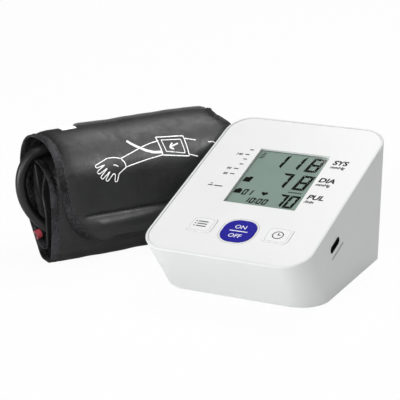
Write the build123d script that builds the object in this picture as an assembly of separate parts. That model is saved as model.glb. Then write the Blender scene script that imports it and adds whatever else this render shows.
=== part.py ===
from build123d import *
from math import atan2, cos, hypot, pi, radians, sin, tan
import os

os.makedirs("parts", exist_ok=True)

# Casing, measured on its outside. X runs to the right, Y to the back, Z up. Y is 0 at the
# front edge of the sloping face, and Z is 0 at the table.
face_width = 108.0
face_length = 144.0
face_slope = 18.7
front_height = 34.1
base_width = 105.0
base_front = 23.4
base_rear = 127.1
face_corner = 17.0
base_front_corner = 18.0
base_rear_corner = 10.0
wall = 2.2
foot_height = 1.0

# Sloping face: depths are measured down from the plane of the rim, square to the face
rim_width = 1.8
rim_round = 0.9
plate_drop = 0.4
plate_thickness = 1.4
roof_thickness = 2.2
panel_gap = 0.2
cut_room = 1.0
weld = 0.5

# Display
window_width = 47.1
window_length = 57.4
window_x = 2.75
window_t = 81.7
window_drop = 0.1
window_ledge = 1.6
window_gap = 0.12
glass_margin = 1.8
glass_thickness = 2.2
backlight_thickness = 2.0
holder_wall = 2.6
holder_ledge = 1.8
holder_ledge_thickness = 1.2
strip_width = 2.0
strip_margin = 3.0
strip_gap = 1.0

# Keys
start_key_width = 21.0
start_key_length = 20.5
start_key_corner = 8.4
start_key_x = 1.6
start_key_t = 26.8
side_key_width = 16.2
side_key_length = 14.3
side_key_corner = 3.0
side_key_t = 28.2
side_key_spacing = 24.8
key_rise = 0.25
key_gap = 0.25
key_travel = 0.5
key_flange = 1.4
key_flange_thickness = 1.0
key_post = 4.0
key_stop_gap = 0.3

# Key switches on the board
switch_size = 6.2
switch_height = 3.8
stem_rise = 1.2
stem_radius = 1.7
stem_depth = 1.3
stem_end_room = 0.2
slide_gap = 0.05

# Main board, parallel to the face
board_depth = 12.0
board_thickness = 1.6
board_width = 95.0
board_front = 12.0
board_rear = 118.0
board_boss_x = 41.0
board_boss_front = 19.0
board_boss_rear = 112.0
board_boss_radius = 3.0
board_clearance = 0.6
board_front_corner = 16.0
board_rear_corner = 6.0

# Chips, capacitors and lead connectors under the board. Places are across and up the face.
chips = [
    (-8.0, 40.0, 12.0, 12.0, 1.4),
    (16.0, 100.0, 8.0, 6.0, 1.6),
    (6.0, 24.0, 8.0, 3.4, 2.2),
]
capacitor_places = [(-14.0, 84.0), (14.0, 84.0)]
capacitor_radius = 4.0
capacitor_height = 7.5
connector_places = [(-30.0, 112.0), (0.0, 112.0), (30.0, 112.0)]
connector_width = 7.5
connector_length = 4.5
connector_height = 5.0

# Screws
pilot_radius = 0.95
screw_radius = 0.9
screw_hole_radius = 1.3
screw_head_radius = 2.2
screw_head_height = 1.2
board_screw_length = 6.0
housing_screw_length = 9.0
screw_sink = 0.3
screw_end_room = 1.0
housing_boss_radius = 3.5
housing_boss_setback = 9.5
housing_boss_front = 34.5
housing_boss_rear = 118.5

# Bottom cover and feet
cover_thickness = 2.6
cover_gap = 0.15
foot_radius = 4.0
foot_recess = 0.6
foot_setback = 14.5
foot_front = 47.0
foot_rear = 105.0
foot_rear_setback = 11.5

# Batteries and their door
cell_radius = 7.25
cell_length = 50.5
cell_nib_radius = 2.7
cell_nib = 1.0
cell_pitch = 15.1
cell_count = 4
cell_front = 67.0
contact_room = 2.2
contact_thickness = 0.4
contact_width = 9.0
contact_half_length = 4.0
leaf_half_length = 3.6
leaf_width = 5.0
box_wall = 1.5
box_gap = 0.3
door_width = 66.0
door_front = 61.0
door_thickness = 2.0
door_gap = 0.3
tongue_width = 1.0
tongue_thickness = 0.8
tongue_gap = 0.2
tongue_height = 1.0
grip_count = 5
grip_pitch = 2.4
grip_groove = 1.2
grip_width = 24.0
grip_depth = 0.5
grip_setback = 8.0

# Pump
pump_y = 44.0
pump_z = 18.4
motor_radius = 12.1
motor_length = 31.0
pump_reach = 71.0
motor_wall = 1.2
shaft_radius = 1.0
rotor_radius = 8.5
rotor_length = 17.0
rotor_slot_radius = 2.2
air_gap = 0.4
magnet_gap = 6.0
shaft_end_room = 0.3
sleeve_thickness = 1.8
sleeve_length = 22.0
sleeve_setback = 4.0
saddle_thickness = 3.0
saddle_width = 30.0
saddle_drop = 4.0
head_radius = 13.4
head_length = 17.0
head_wall = 1.8
crank_radius = 5.0
crank_length = 4.0
crank_offset = 1.2
crank_room = 2.0
diaphragm_thickness = 3.0
pump_cap_length = 6.0
cup_count = 3
cup_circle = 7.2
cup_radius = 3.2
cup_gap = 0.3
cup_end_room = 0.2
head_bore_gap = 0.6

# Air line
nozzle_radius = 2.0
nozzle_bore = 1.0
riser_bore = 0.8
nozzle_length = 5.0
tube_wall = 0.7
tube_gap = 0.1
tube_end_gap = 0.3
pump_tube_bend = 7.0
sensor_tube_bend = 20.0
air_line_setback = 8.5
manifold_front = 66.0
manifold_length = 17.0
manifold_width = 8.0
manifold_height = 8.0
valve_front = 93.0
valve_length = 19.0
valve_width = 11.6
valve_frame = 1.0
stand_width = 6.0
stand_setback = 2.0
coil_radius = 5.2
coil_gap = 1.5
plunger_radius = 2.0
plunger_end = 0.6
plunger_travel = 0.8
plunger_gap = 0.2
socket_y = 78.0
socket_z = 38.5
socket_seat = 0.3
socket_bore = 2.6
socket_depth = 11.0
socket_radius = 4.8
socket_flange_radius = 6.8
socket_flange = 1.0
sensor_size = 7.0
sensor_height = 4.5
sensor_t = 66.0
sensor_run = 1.5

# Speaker on the rear wall
speaker_radius = 15.0
speaker_height = 46.0
speaker_rim = 1.2
speaker_depth = 6.5
magnet_radius = 8.0
magnet_depth = 3.5
cone_radius = 12.5
cone_depth = 3.4
cone_paper = 0.4
cone_travel = 0.3
cone_gap = 0.3
cone_tip_setback = 2.0
speaker_seat = 0.02
grille_hole_radius = 0.9
grille_pitch = 4.2
grille_rings = 2

# Socket for the power lead, in the right wall
usb_t = 44.6
usb_slot_length = 12.4
usb_slot_height = 3.4
usb_shell_length = 8.9
usb_shell_height = 3.2
usb_shell_depth = 7.4
usb_sheet = 0.3
usb_seat = 0.3
usb_back = 1.2
usb_tongue_margin = 2.4
usb_tongue = 0.7

# Arm cuff, rolled up behind the monitor's left side. Its section is drawn square to the roll:
# across is towards the viewer, and height is above the table.
roll_x = -136.7
roll_y = 28.3
roll_turn = 53.9
roll_length = 135.0
hem_width = 7.0
wrap_thickness = 4.4
cloth_thickness = 0.9
roll_front = 6.9
roll_back = -43.3
roll_top = 79.0
flap_end = 12.0
inner_front = 1.4
inner_back = -33.5
inner_top = 65.0
tail_thickness = 1.6
tail_gap = 0.3
tail_top = 50.0
tail_bend = 3.0
layer_gap = 1.4
shoulder_height = 36.0
outer_toe = -19.0
inner_toe = -17.0
inner_end = -6.0
bladder_outer_edge = 50.0
bladder_inner_edge = 44.5
bar_radius = 1.2
bar_room = 8.0
bar_gap = 0.3
hook_thickness = 0.8
hook_length = 38.0
hook_setback = 2.0
patch_thickness = 0.8
patch_start = 34.0
patch_length = 84.0
patch_start_angle = 100
patch_sweep_angle = 50
label_thickness = 0.4
label_start = 22.0
label_length = 11.0
label_start_angle = 98
label_sweep_angle = 20

# Air hose of the cuff and its plug. The points are distances along the roll, across it and up.
hose_radius = 3.5
port_length = 8.0
port_foot_margin = 1.0
hose_route = [
    (75.0, -16.0, 72.2),
    (38.0, -14.8, 71.9),
    (1.0, -13.2, 72.4),
    (-10.6, -12.2, 64.0),
    (-13.2, -11.0, 49.5),
    (-8.4, -9.0, 34.8),
    (3.0, -7.0, 21.8),
    (18.0, -6.6, 14.6),
    (48.0, -6.9, 14.1),
    (80.0, -7.4, 15.0),
    (108.6, -8.0, 14.2),
    (122.6, -11.2, 27.4),
    (122.6, -15.8, 44.6),
    (109.4, -19.0, 57.0),
    (84.0, -19.6, 58.0),
    (56.0, -16.8, 42.0),
    (33.4, -14.5, 26.0),
    (18.5, -14.2, 21.5),
]
plug_body_length = 12.0
plug_nose_length = 9.0
plug_nose_radius = 2.3
plug_bore = 1.2
seal_length = 3.5
seal_thickness = 0.6

slope = radians(face_slope)
face_plane = Plane(origin=(0, 0, front_height), x_dir=(1, 0, 0), z_dir=(0, -sin(slope), cos(slope)))
face_rear_y = face_length * cos(slope)
rear_height = front_height + face_length * sin(slope)
front_lean = atan2(base_front, front_height - foot_height)
rear_lean = atan2(face_rear_y - base_rear, rear_height - foot_height)
plate_bottom = plate_drop + plate_thickness
roof_bottom = plate_bottom + roof_thickness
board_bottom = board_depth + board_thickness
cover_top = foot_height + cover_thickness
usb_depth = board_bottom + usb_shell_height / 2
boss_x = base_width / 2 - housing_boss_setback
front_foot_x = base_width / 2 - foot_setback
rear_foot_x = base_width / 2 - foot_rear_setback
air_line_x = air_line_setback - min(base_width, face_width) / 2
motor_right = air_line_x + pump_reach


def on_face(x, t, depth):
    """A place on the sloping face: across, up the slope, and below the rim's plane."""
    return face_plane.location * Pos(x, t, -depth)


def face_z(y, depth):
    """Height of the plane at this depth below the face, over a point at this Y."""
    t = (y - depth * sin(slope)) / cos(slope)
    return front_height + t * sin(slope) - depth * cos(slope)


def rounded_outline(half_width, front, back, front_radius, back_radius):
    corners = [
        CenterArc((-half_width + front_radius, front + front_radius), front_radius, 180, 90),
        CenterArc((half_width - front_radius, front + front_radius), front_radius, 270, 90),
        CenterArc((half_width - back_radius, back - back_radius), back_radius, 0, 90),
        CenterArc((-half_width + back_radius, back - back_radius), back_radius, 90, 90),
    ]
    edges = []
    for k, corner in enumerate(corners):
        edges += [corner.edge(), Line(corner @ 1, corners[(k + 1) % 4] @ 0).edge()]
    return Wire(edges)


def base_outline(inset, height):
    front = base_front + inset / cos(front_lean)
    back = base_rear - inset / cos(rear_lean)
    wire = rounded_outline(base_width / 2 - inset, front, back,
                           base_front_corner - inset, base_rear_corner - inset)
    return Pos(0, 0, height) * wire


def face_outline(inset, depth, follow_walls=True):
    """The face's outline, drawn in by the inset square to the walls, or in the face's plane."""
    front = inset / cos(front_lean - slope) if follow_walls else inset
    back = inset / cos(rear_lean + slope) if follow_walls else inset
    wire = rounded_outline(face_width / 2 - inset, front, face_length - back,
                           face_corner - inset, face_corner - inset)
    return on_face(0, 0, depth) * wire


def face_slab(outline, depth_from, depth_to):
    """A plate parallel to the face, between two depths."""
    return on_face(0, 0, depth_to) * extrude(outline, depth_to - depth_from)


def rounded_slab(x, t, width, length, radius, depth_from, depth_to):
    outline = Pos(x, t) * RectangleRounded(width, length, radius)
    return face_slab(outline, depth_from, depth_to)


def face_box(x, t, width, length, depth_from, depth_to):
    return face_slab(Pos(x, t) * Rectangle(width, length), depth_from, depth_to)


def face_pin(x, t, radius, depth_from, depth_to):
    return face_slab(Pos(x, t) * Circle(radius), depth_from, depth_to)


def upright(x, y, radius, low, high):
    return Pos(x, y, low) * Cylinder(radius, high - low, align=(Align.CENTER, Align.CENTER, Align.MIN))


def block(x_from, x_to, y_from, y_to, z_from, z_to):
    size = (x_to - x_from, y_to - y_from, z_to - z_from)
    return Pos(x_from, y_from, z_from) * Box(*size, align=(Align.MIN, Align.MIN, Align.MIN))


def rod_x(x_from, x_to, y, z, radius):
    """A round bar along X."""
    bar = Cylinder(radius, x_to - x_from, align=(Align.CENTER, Align.CENTER, Align.MIN))
    return Pos(x_from, y, z) * Rot(0, 90, 0) * bar


def rod_y(y_from, y_to, x, z, radius):
    """A round bar along Y."""
    bar = Cylinder(radius, y_to - y_from, align=(Align.CENTER, Align.CENTER, Align.MIN))
    return Pos(x, y_from, z) * Rot(-90, 0, 0) * bar


def group(solids):
    return Compound(children=[solid for piece in solids for solid in piece.solids()])


def both_sides(half, front, back):
    """Four places, mirrored left and right."""
    return [(side * half, place) for place in (front, back) for side in (-1, 1)]


board_bosses = both_sides(board_boss_x, board_boss_front, board_boss_rear)
housing_bosses = both_sides(boss_x, housing_boss_front, housing_boss_rear)
feet_places = [(side * x, y) for side in (-1, 1)
               for x, y in ((front_foot_x, foot_front), (rear_foot_x, foot_rear))]

keys = {
    "memory": (start_key_x - side_key_spacing, side_key_t, side_key_width, side_key_length, side_key_corner),
    "start": (start_key_x, start_key_t, start_key_width, start_key_length, start_key_corner),
    "set": (start_key_x + side_key_spacing, side_key_t, side_key_width, side_key_length, side_key_corner),
}

# Rear wall: a plane on its outside, Z outwards, and the speaker's centre on it
rear_plane = Plane(
    origin=(0, base_rear + (speaker_height - foot_height) * tan(rear_lean), speaker_height),
    x_dir=(1, 0, 0),
    z_dir=(0, cos(rear_lean), -sin(rear_lean)),
)


def side_wall_x(y, z):
    """Outside of the right wall at this place, which leans out a little towards the face."""
    share = (z - foot_height) / (face_z(y, 0) - foot_height)
    return base_width / 2 + share * (face_width - base_width) / 2


cavity = Solid.make_loft([base_outline(wall, foot_height), face_outline(wall, 0)], ruled=True)
cavity -= face_slab(Rectangle(3 * face_width, 3 * face_length), 0, roof_bottom)


def grille_places():
    """Hole centres in hexagonal rings about the speaker's centre."""
    places = [(0.0, 0.0)]
    for ring in range(1, grille_rings + 1):
        for k in range(6 * ring):
            angle = 2 * pi * k / (6 * ring)
            places.append((ring * grille_pitch * cos(angle), ring * grille_pitch * sin(angle)))
    return places


def top_housing():
    body = Solid.make_loft([base_outline(0, foot_height), face_outline(0, 0)], ruled=True)
    rim_edges = [edge for edge in body.edges()
                 if abs(face_plane.to_local_coords(edge.center()).Z) < 0.01]
    body = fillet(rim_edges, rim_round)
    body -= cavity
    body -= face_slab(make_face(rounded_outline(
        face_width / 2 - rim_width, rim_width, face_length - rim_width,
        face_corner - rim_width, face_corner - rim_width)), 0, plate_bottom)
    for x, y in housing_bosses:
        body += upright(x, y, housing_boss_radius, cover_top, rear_height) & cavity
    for x, t in board_bosses:
        body += face_pin(x, t, board_boss_radius, roof_bottom - weld, board_depth)
    for x, y in housing_bosses:
        pilot_top = foot_height + housing_screw_length + screw_end_room
        body -= upright(x, y, pilot_radius, cover_top - cut_room, pilot_top)
    for x, t in board_bosses:
        body -= face_pin(x, t, pilot_radius, board_bottom - board_screw_length - screw_end_room,
                         board_depth + cut_room)
    body -= face_box(window_x, window_t, window_width - 2 * window_ledge,
                     window_length - 2 * window_ledge, plate_bottom - cut_room, roof_bottom + cut_room)
    for x, t, width, length, corner in keys.values():
        body -= rounded_slab(x, t, width + 2 * key_gap, length + 2 * key_gap, corner + key_gap,
                             plate_bottom - cut_room, roof_bottom + cut_room)
    body -= usb_slot(usb_slot_length, usb_slot_height, side_wall_x(0, 0) - 3 * wall, face_width)
    body -= rod_x(-face_width, -base_width / 2 + 3 * wall, socket_y, socket_z, socket_radius + slide_gap)
    for x, y in grille_places():
        body -= rear_plane.location * Pos(x, y, cut_room) * Cylinder(
            grille_hole_radius, 2 * wall + cut_room, align=(Align.CENTER, Align.CENTER, Align.MAX))
    notch = door_width / 2 + tongue_width + 2 * door_gap
    body -= block(-notch, notch, base_rear - 3 * wall, base_rear + wall, 0, cover_top)
    return body


def usb_slot(length, height, x_from, x_to):
    """A slot-shaped bar along X, with its long axis parallel to the face."""
    centre = on_face(x_from, usb_t, usb_depth).position
    plane = Plane(origin=centre, x_dir=(0, cos(slope), sin(slope)), z_dir=(1, 0, 0))
    return extrude(plane * SlotOverall(length, height), x_to - x_from)


def face_plate():
    plate = face_slab(make_face(rounded_outline(
        face_width / 2 - rim_width - panel_gap, rim_width + panel_gap, face_length - rim_width - panel_gap,
        face_corner - rim_width - panel_gap, face_corner - rim_width - panel_gap)), plate_drop, plate_bottom)
    deep = plate_bottom + cut_room
    plate -= face_box(window_x, window_t, window_width + 2 * window_gap,
                      window_length + 2 * window_gap, 0, deep)
    for x, t, width, length, corner in keys.values():
        plate -= rounded_slab(x, t, width + 2 * key_gap, length + 2 * key_gap, corner + key_gap, 0, deep)
    return plate


def display_window():
    return face_box(window_x, window_t, window_width, window_length, plate_drop + window_drop, plate_bottom)


glass_width = window_width + 2 * glass_margin
glass_length = window_length + 2 * glass_margin
glass_bottom = roof_bottom + glass_thickness
light_bottom = glass_bottom + backlight_thickness
strip_t = window_t - glass_length / 2 + strip_margin
light_front = strip_t + strip_width + strip_gap


def display_glass():
    return face_box(window_x, window_t, glass_width, glass_length, roof_bottom, glass_bottom)


def backlight_panel():
    rear = window_t + glass_length / 2
    middle = (light_front + rear) / 2
    return face_box(window_x, middle, glass_width, rear - light_front, glass_bottom, light_bottom)


def display_holder():
    outer = face_box(window_x, window_t, glass_width + 2 * holder_wall, glass_length + 2 * holder_wall,
                     roof_bottom, board_depth)
    outer -= face_box(window_x, window_t, glass_width + 2 * panel_gap, glass_length + 2 * panel_gap,
                      roof_bottom - cut_room, light_bottom)
    ledge_rear = window_t + glass_length / 2 - holder_ledge
    outer -= face_box(window_x, (light_front + holder_ledge + ledge_rear) / 2, glass_width - 2 * holder_ledge,
                      ledge_rear - light_front - holder_ledge,
                      light_bottom - cut_room, light_bottom + holder_ledge_thickness)
    outer -= face_box(window_x, window_t, glass_width, glass_length,
                      light_bottom + holder_ledge_thickness, board_depth + cut_room)
    outer -= face_box(window_x, strip_t, glass_width - 2 * holder_ledge + 2 * panel_gap,
                      strip_width + 2 * panel_gap, light_bottom - cut_room, board_depth)
    return outer


def contact_strip():
    return face_box(window_x, strip_t, glass_width - 2 * holder_ledge, strip_width, glass_bottom, board_depth)


switch_top = board_depth - switch_height
stem_top = switch_top - stem_rise


def key_cap(name):
    x, t, width, length, corner = keys[name]
    flange_top = roof_bottom + key_stop_gap
    cap = rounded_slab(x, t, width, length, corner, plate_drop - key_rise, flange_top)
    cap += rounded_slab(x, t, width + 2 * key_flange, length + 2 * key_flange, corner + key_flange,
                        flange_top, flange_top + key_flange_thickness)
    cap += face_pin(x, t, key_post / 2, flange_top, stem_top)
    return cap


def switch_body(name):
    x, t = keys[name][:2]
    body = face_box(x, t, switch_size, switch_size, switch_top, board_depth)
    bore_end = switch_top + stem_depth + key_travel + stem_end_room
    return body - face_pin(x, t, stem_radius + slide_gap, switch_top - cut_room, bore_end)


def switch_stem(name):
    x, t = keys[name][:2]
    return face_pin(x, t, stem_radius, stem_top, switch_top + stem_depth)


def main_board():
    outline = rounded_outline(board_width / 2, board_front, board_rear, board_front_corner, board_rear_corner)
    board = face_slab(make_face(outline), board_depth, board_bottom)
    for x, t in board_bosses:
        board -= face_pin(x, t, screw_hole_radius, board_depth - cut_room, board_bottom + cut_room)
    for x, y in housing_bosses:
        board -= upright(x, y, housing_boss_radius + board_clearance, 0, 2 * rear_height)
    return board


def board_screw(x, t):
    head = face_pin(x, t, screw_head_radius, board_bottom, board_bottom + screw_head_height)
    return head + face_pin(x, t, screw_radius, board_bottom - board_screw_length, board_bottom + weld)


def board_parts():
    """Control chip, voice chip, crystal, capacitors and lead connectors under the board."""
    solids = []
    for x, t, width, length, height in chips:
        solids.append(face_box(x, t, width, length, board_bottom, board_bottom + height))
    for x, t in capacitor_places:
        solids.append(face_pin(x, t, capacitor_radius, board_bottom, board_bottom + capacitor_height))
    for x, t in connector_places:
        solids.append(face_box(x, t, connector_width, connector_length,
                               board_bottom, board_bottom + connector_height))
    return group(solids)


def pressure_sensor():
    body = face_box(air_line_x, sensor_t, sensor_size, sensor_size,
                    board_bottom, board_bottom + sensor_height)
    end = board_bottom + sensor_height
    port = face_pin(air_line_x, sensor_t, nozzle_radius, end - weld, end + nozzle_length)
    return body + port - face_pin(air_line_x, sensor_t, nozzle_bore, end, end + nozzle_length + cut_room)


def usb_socket():
    outer_x = side_wall_x(usb_t * cos(slope), front_height) - wall - usb_seat
    back_x = outer_x - usb_shell_depth
    shell = usb_slot(usb_shell_length, usb_shell_height, back_x, outer_x)
    shell -= usb_slot(usb_shell_length - 2 * usb_sheet, usb_shell_height - 2 * usb_sheet,
                      back_x + usb_back, outer_x + cut_room)
    tongue_length = usb_shell_depth - 2 * weld
    middle = back_x + weld + tongue_length / 2
    tongue = face_box(middle, usb_t, tongue_length, usb_shell_length - usb_tongue_margin,
                      usb_depth - usb_tongue / 2, usb_depth + usb_tongue / 2)
    return shell + tongue


def housing_screw(x, y):
    low = foot_height + screw_sink
    head = upright(x, y, screw_head_radius, low, low + screw_head_height)
    return head + upright(x, y, screw_radius, low + weld, foot_height + housing_screw_length)


def rubber_foot(x, y):
    return upright(x, y, foot_radius, 0, foot_height + foot_recess)


motor_left = motor_right - motor_length
head_left = motor_left - head_length
diaphragm_left = head_left - diaphragm_thickness
cap_left = diaphragm_left - pump_cap_length
sleeve_left = motor_right - sleeve_length - sleeve_setback
box_half_width = (cell_count - 1) * cell_pitch / 2 + cell_radius + box_gap
box_front = cell_front - contact_room
box_back = cell_front + cell_length + contact_room
cell_z = foot_height + door_thickness + box_gap + cell_radius
box_top = cell_z + cell_radius + box_gap
cell_places = [(k - (cell_count - 1) / 2) * cell_pitch for k in range(cell_count)]


def battery_cell(x, nib_to_rear):
    start = cell_front if nib_to_rear else cell_front + cell_nib
    cell = rod_y(start, start + cell_length - cell_nib, x, cell_z, cell_radius)
    if nib_to_rear:
        return cell + rod_y(start + weld, cell_front + cell_length, x, cell_z, cell_nib_radius)
    return cell + rod_y(cell_front, start + weld, x, cell_z, cell_nib_radius)


def battery_contacts():
    """Flat plates at both ends of the box. Pairs of cells share a bridge."""
    low = cell_z - contact_width / 2
    high = cell_z + contact_width / 2
    plates = []
    for left, right in ((0, 1), (2, 3)):
        plates.append(block(cell_places[left] - contact_half_length, cell_places[right] + contact_half_length,
                            box_front, box_front + contact_thickness, low, high))
    for left, right in ((0, 0), (1, 2), (3, 3)):
        plates.append(block(cell_places[left] - contact_half_length, cell_places[right] + contact_half_length,
                            box_back - contact_thickness, box_back, low, high))
    return group(plates)


def contact_leaf(x, at_front):
    """A bowed strip that presses on the flat end of a cell."""
    reach = contact_room - contact_thickness
    half = leaf_half_length
    outer = ThreePointArc((-half, 0), (0, reach), (half, 0))
    inner_reach = reach - contact_thickness
    inner = ThreePointArc((-half + contact_thickness, 0), (0, inner_reach), (half - contact_thickness, 0))
    ends = [Line(outer @ 0, inner @ 0).edge(), Line(outer @ 1, inner @ 1).edge()]
    strip = extrude(make_face([outer.edge(), inner.edge()] + ends), leaf_width)
    if at_front:
        return Pos(x, box_front + contact_thickness, cell_z - leaf_width / 2) * strip
    return Pos(x, box_back - contact_thickness, cell_z - leaf_width / 2) * mirror(strip, about=Plane.XZ)


def cover_outline():
    return make_face(base_outline(wall + cover_gap, foot_height))


def bottom_cover():
    cover = extrude(cover_outline(), cover_thickness)
    tower = block(-box_half_width - box_wall, box_half_width + box_wall,
                  box_front - box_wall, box_back + box_wall, foot_height, box_top + box_wall)
    cover += tower
    half_door = door_width / 2
    cover -= block(-half_door - door_gap, half_door + door_gap, door_front - door_gap, base_rear,
                   foot_height - cut_room, foot_height + door_thickness + tongue_gap)
    half_groove = half_door + tongue_width + door_gap
    cover -= block(-half_groove, half_groove, door_front - door_gap, base_rear,
                   foot_height + tongue_height - tongue_gap,
                   foot_height + tongue_height + tongue_thickness + tongue_gap)
    cover -= block(-box_half_width, box_half_width, box_front, box_back, 0, box_top)
    for x, y in housing_bosses:
        cover -= upright(x, y, screw_hole_radius, 0, cover_top + cut_room)
        seat = foot_height + screw_sink + screw_head_height
        cover -= upright(x, y, screw_head_radius + screw_sink, 0, seat)
    for x, y in feet_places:
        cover -= upright(x, y, foot_radius, 0, foot_height + foot_recess)
    for x in (sleeve_left + saddle_thickness / 2, sleeve_left + sleeve_length - 1.5 * saddle_thickness):
        saddle = block(x, x + saddle_thickness, pump_y - saddle_width / 2, pump_y + saddle_width / 2,
                       cover_top - weld, pump_z - saddle_drop)
        cover += saddle - rod_x(x - cut_room, x + saddle_thickness + cut_room, pump_y, pump_z,
                                motor_radius + sleeve_thickness)
    for front, length, height in ((manifold_front, manifold_length, manifold_height),
                                  (valve_front, valve_length, valve_width)):
        cover += block(air_line_x - stand_width / 2, air_line_x + stand_width / 2, front + stand_setback,
                       front + length - stand_setback, cover_top - weld, pump_z - height / 2)
    return cover


def battery_door():
    half_door = door_width / 2
    rear = base_rear
    door = block(-half_door, half_door, door_front, rear, foot_height, foot_height + door_thickness)
    door += block(-half_door - tongue_width, half_door + tongue_width, door_front, rear - 3 * wall,
                  foot_height + tongue_height, foot_height + tongue_height + tongue_thickness)
    for k in range(grip_count):
        y = rear - grip_setback - grip_pitch * k
        door -= block(-grip_width / 2, grip_width / 2, y, y + grip_groove,
                      foot_height - cut_room, foot_height + grip_depth)
    return door


def motor_can():
    can = rod_x(motor_left, motor_right, pump_y, pump_z, motor_radius)
    can -= rod_x(motor_left + motor_wall, motor_right - motor_wall, pump_y, pump_z, motor_radius - motor_wall)
    return can - rod_x(motor_left - cut_room, motor_right - motor_wall / 2,
                       pump_y, pump_z, shaft_radius + slide_gap)


rotor_left = (motor_left + motor_right - rotor_length) / 2
rotor_right = rotor_left + rotor_length
crank_left = head_left + head_wall + crank_room


def motor_shaft():
    return rod_x(crank_left, motor_right - motor_wall / 2 - shaft_end_room, pump_y, pump_z, shaft_radius)


def motor_rotor():
    core = rod_x(rotor_left, rotor_right, pump_y, pump_z, rotor_radius)
    core -= rod_x(rotor_left - cut_room, rotor_right + cut_room, pump_y, pump_z, shaft_radius)
    for k in range(3):
        turn = radians(90 + 120 * k)
        slot_y = pump_y + rotor_radius * cos(turn)
        slot_z = pump_z + rotor_radius * sin(turn)
        core -= rod_x(rotor_left - cut_room, rotor_right + cut_room, slot_y, slot_z, rotor_slot_radius)
    return core


def motor_magnets():
    ring = rod_x(rotor_left, rotor_right, pump_y, pump_z, motor_radius - motor_wall)
    ring -= rod_x(rotor_left - cut_room, rotor_right + cut_room, pump_y, pump_z, rotor_radius + air_gap)
    gap = block(rotor_left - cut_room, rotor_right + cut_room,
                pump_y - magnet_gap / 2, pump_y + magnet_gap / 2,
                pump_z - motor_radius, pump_z + motor_radius)
    return group([ring - gap])


def pump_crank():
    crank = rod_x(crank_left, crank_left + crank_length, pump_y, pump_z + crank_offset, crank_radius)
    return crank - rod_x(crank_left - cut_room, crank_left + crank_length + cut_room,
                         pump_y, pump_z, shaft_radius)


def pump_head():
    head = rod_x(head_left, motor_left, pump_y, pump_z, head_radius)
    head -= rod_x(head_left + head_wall, motor_left - head_wall, pump_y, pump_z, head_radius - head_wall)
    head -= rod_x(motor_left - head_wall - cut_room, motor_left + cut_room,
                  pump_y, pump_z, shaft_radius + head_bore_gap)
    for y, z in cup_places():
        head -= rod_x(head_left - cut_room, head_left + head_wall + cut_room, y, z, cup_radius + cup_gap)
    return head


def cup_places():
    """Centres of the diaphragm's cups, about the pump's axis."""
    places = []
    for k in range(cup_count):
        turn = pi / 6 + 2 * pi * k / cup_count
        places.append((pump_y + cup_circle * cos(turn), pump_z + cup_circle * sin(turn)))
    return places


def pump_diaphragm():
    sheet = rod_x(diaphragm_left, head_left, pump_y, pump_z, head_radius)
    for y, z in cup_places():
        sheet += rod_x(diaphragm_left + weld, head_left + head_wall - cup_end_room, y, z, cup_radius)
    return sheet


def pump_cap():
    cap = rod_x(cap_left, diaphragm_left, pump_y, pump_z, head_radius)
    cap += rod_x(cap_left - nozzle_length, cap_left + weld, pump_y, pump_z, nozzle_radius)
    return cap - rod_x(cap_left - nozzle_length - cut_room, cap_left + pump_cap_length / 2,
                       pump_y, pump_z, nozzle_bore)


def pump_sleeve():
    sleeve_right = sleeve_left + sleeve_length
    sleeve = rod_x(sleeve_left, sleeve_right, pump_y, pump_z, motor_radius + sleeve_thickness)
    return sleeve - rod_x(sleeve_left - cut_room, sleeve_right + cut_room, pump_y, pump_z, motor_radius)


def soft_tube(points, radii):
    """A piece of soft tube along straight runs and tangent arcs."""
    path = FilletPolyline(*points, radius=radii) if radii else Line(*points)
    start = Plane(origin=path @ 0, z_dir=path % 0)
    ring = Circle(nozzle_radius + tube_gap + tube_wall) - Circle(nozzle_radius + tube_gap)
    return sweep(start * ring, path=path)


manifold_back = manifold_front + manifold_length
sensor_port_depth = board_bottom + sensor_height + nozzle_length + sensor_run
sensor_port = on_face(air_line_x, sensor_t, sensor_port_depth).position
sensor_port_top = on_face(air_line_x, sensor_t, board_bottom + sensor_height + tube_end_gap).position
manifold_top = pump_z + manifold_height / 2


def air_manifold():
    half = manifold_width / 2
    body = block(air_line_x - half, air_line_x + half, manifold_front, manifold_back,
                 pump_z - manifold_height / 2, manifold_top)
    body += rod_y(manifold_front - nozzle_length, manifold_back + nozzle_length,
                  air_line_x, pump_z, nozzle_radius)
    for y in (sensor_port.Y, socket_y):
        body += upright(air_line_x, y, nozzle_radius, pump_z, manifold_top + nozzle_length)
    body -= rod_y(manifold_front - nozzle_length - cut_room, manifold_back + nozzle_length + cut_room,
                  air_line_x, pump_z, nozzle_bore)
    for y in (sensor_port.Y, socket_y):
        body -= upright(air_line_x, y, riser_bore, pump_z, manifold_top + nozzle_length + cut_room)
    return body


def pump_tube():
    start = (cap_left - tube_end_gap, pump_y, pump_z)
    corner = (air_line_x, pump_y, pump_z)
    stop = (air_line_x, manifold_front - tube_end_gap, pump_z)
    return soft_tube([start, corner, stop], [pump_tube_bend])


def sensor_tube():
    low = (air_line_x, sensor_port.Y, manifold_top + tube_end_gap)
    bend = (air_line_x, sensor_port.Y, sensor_port.Z)
    return soft_tube([tuple(sensor_port_top), bend, low], [sensor_tube_bend])


def socket_tube():
    return soft_tube([(air_line_x, socket_y, manifold_top + tube_end_gap),
                      (air_line_x, socket_y, socket_z - socket_radius - tube_end_gap)], None)


def valve_tube():
    return soft_tube([(air_line_x, manifold_back + tube_end_gap, pump_z),
                      (air_line_x, valve_front - tube_end_gap, pump_z)], None)


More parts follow.
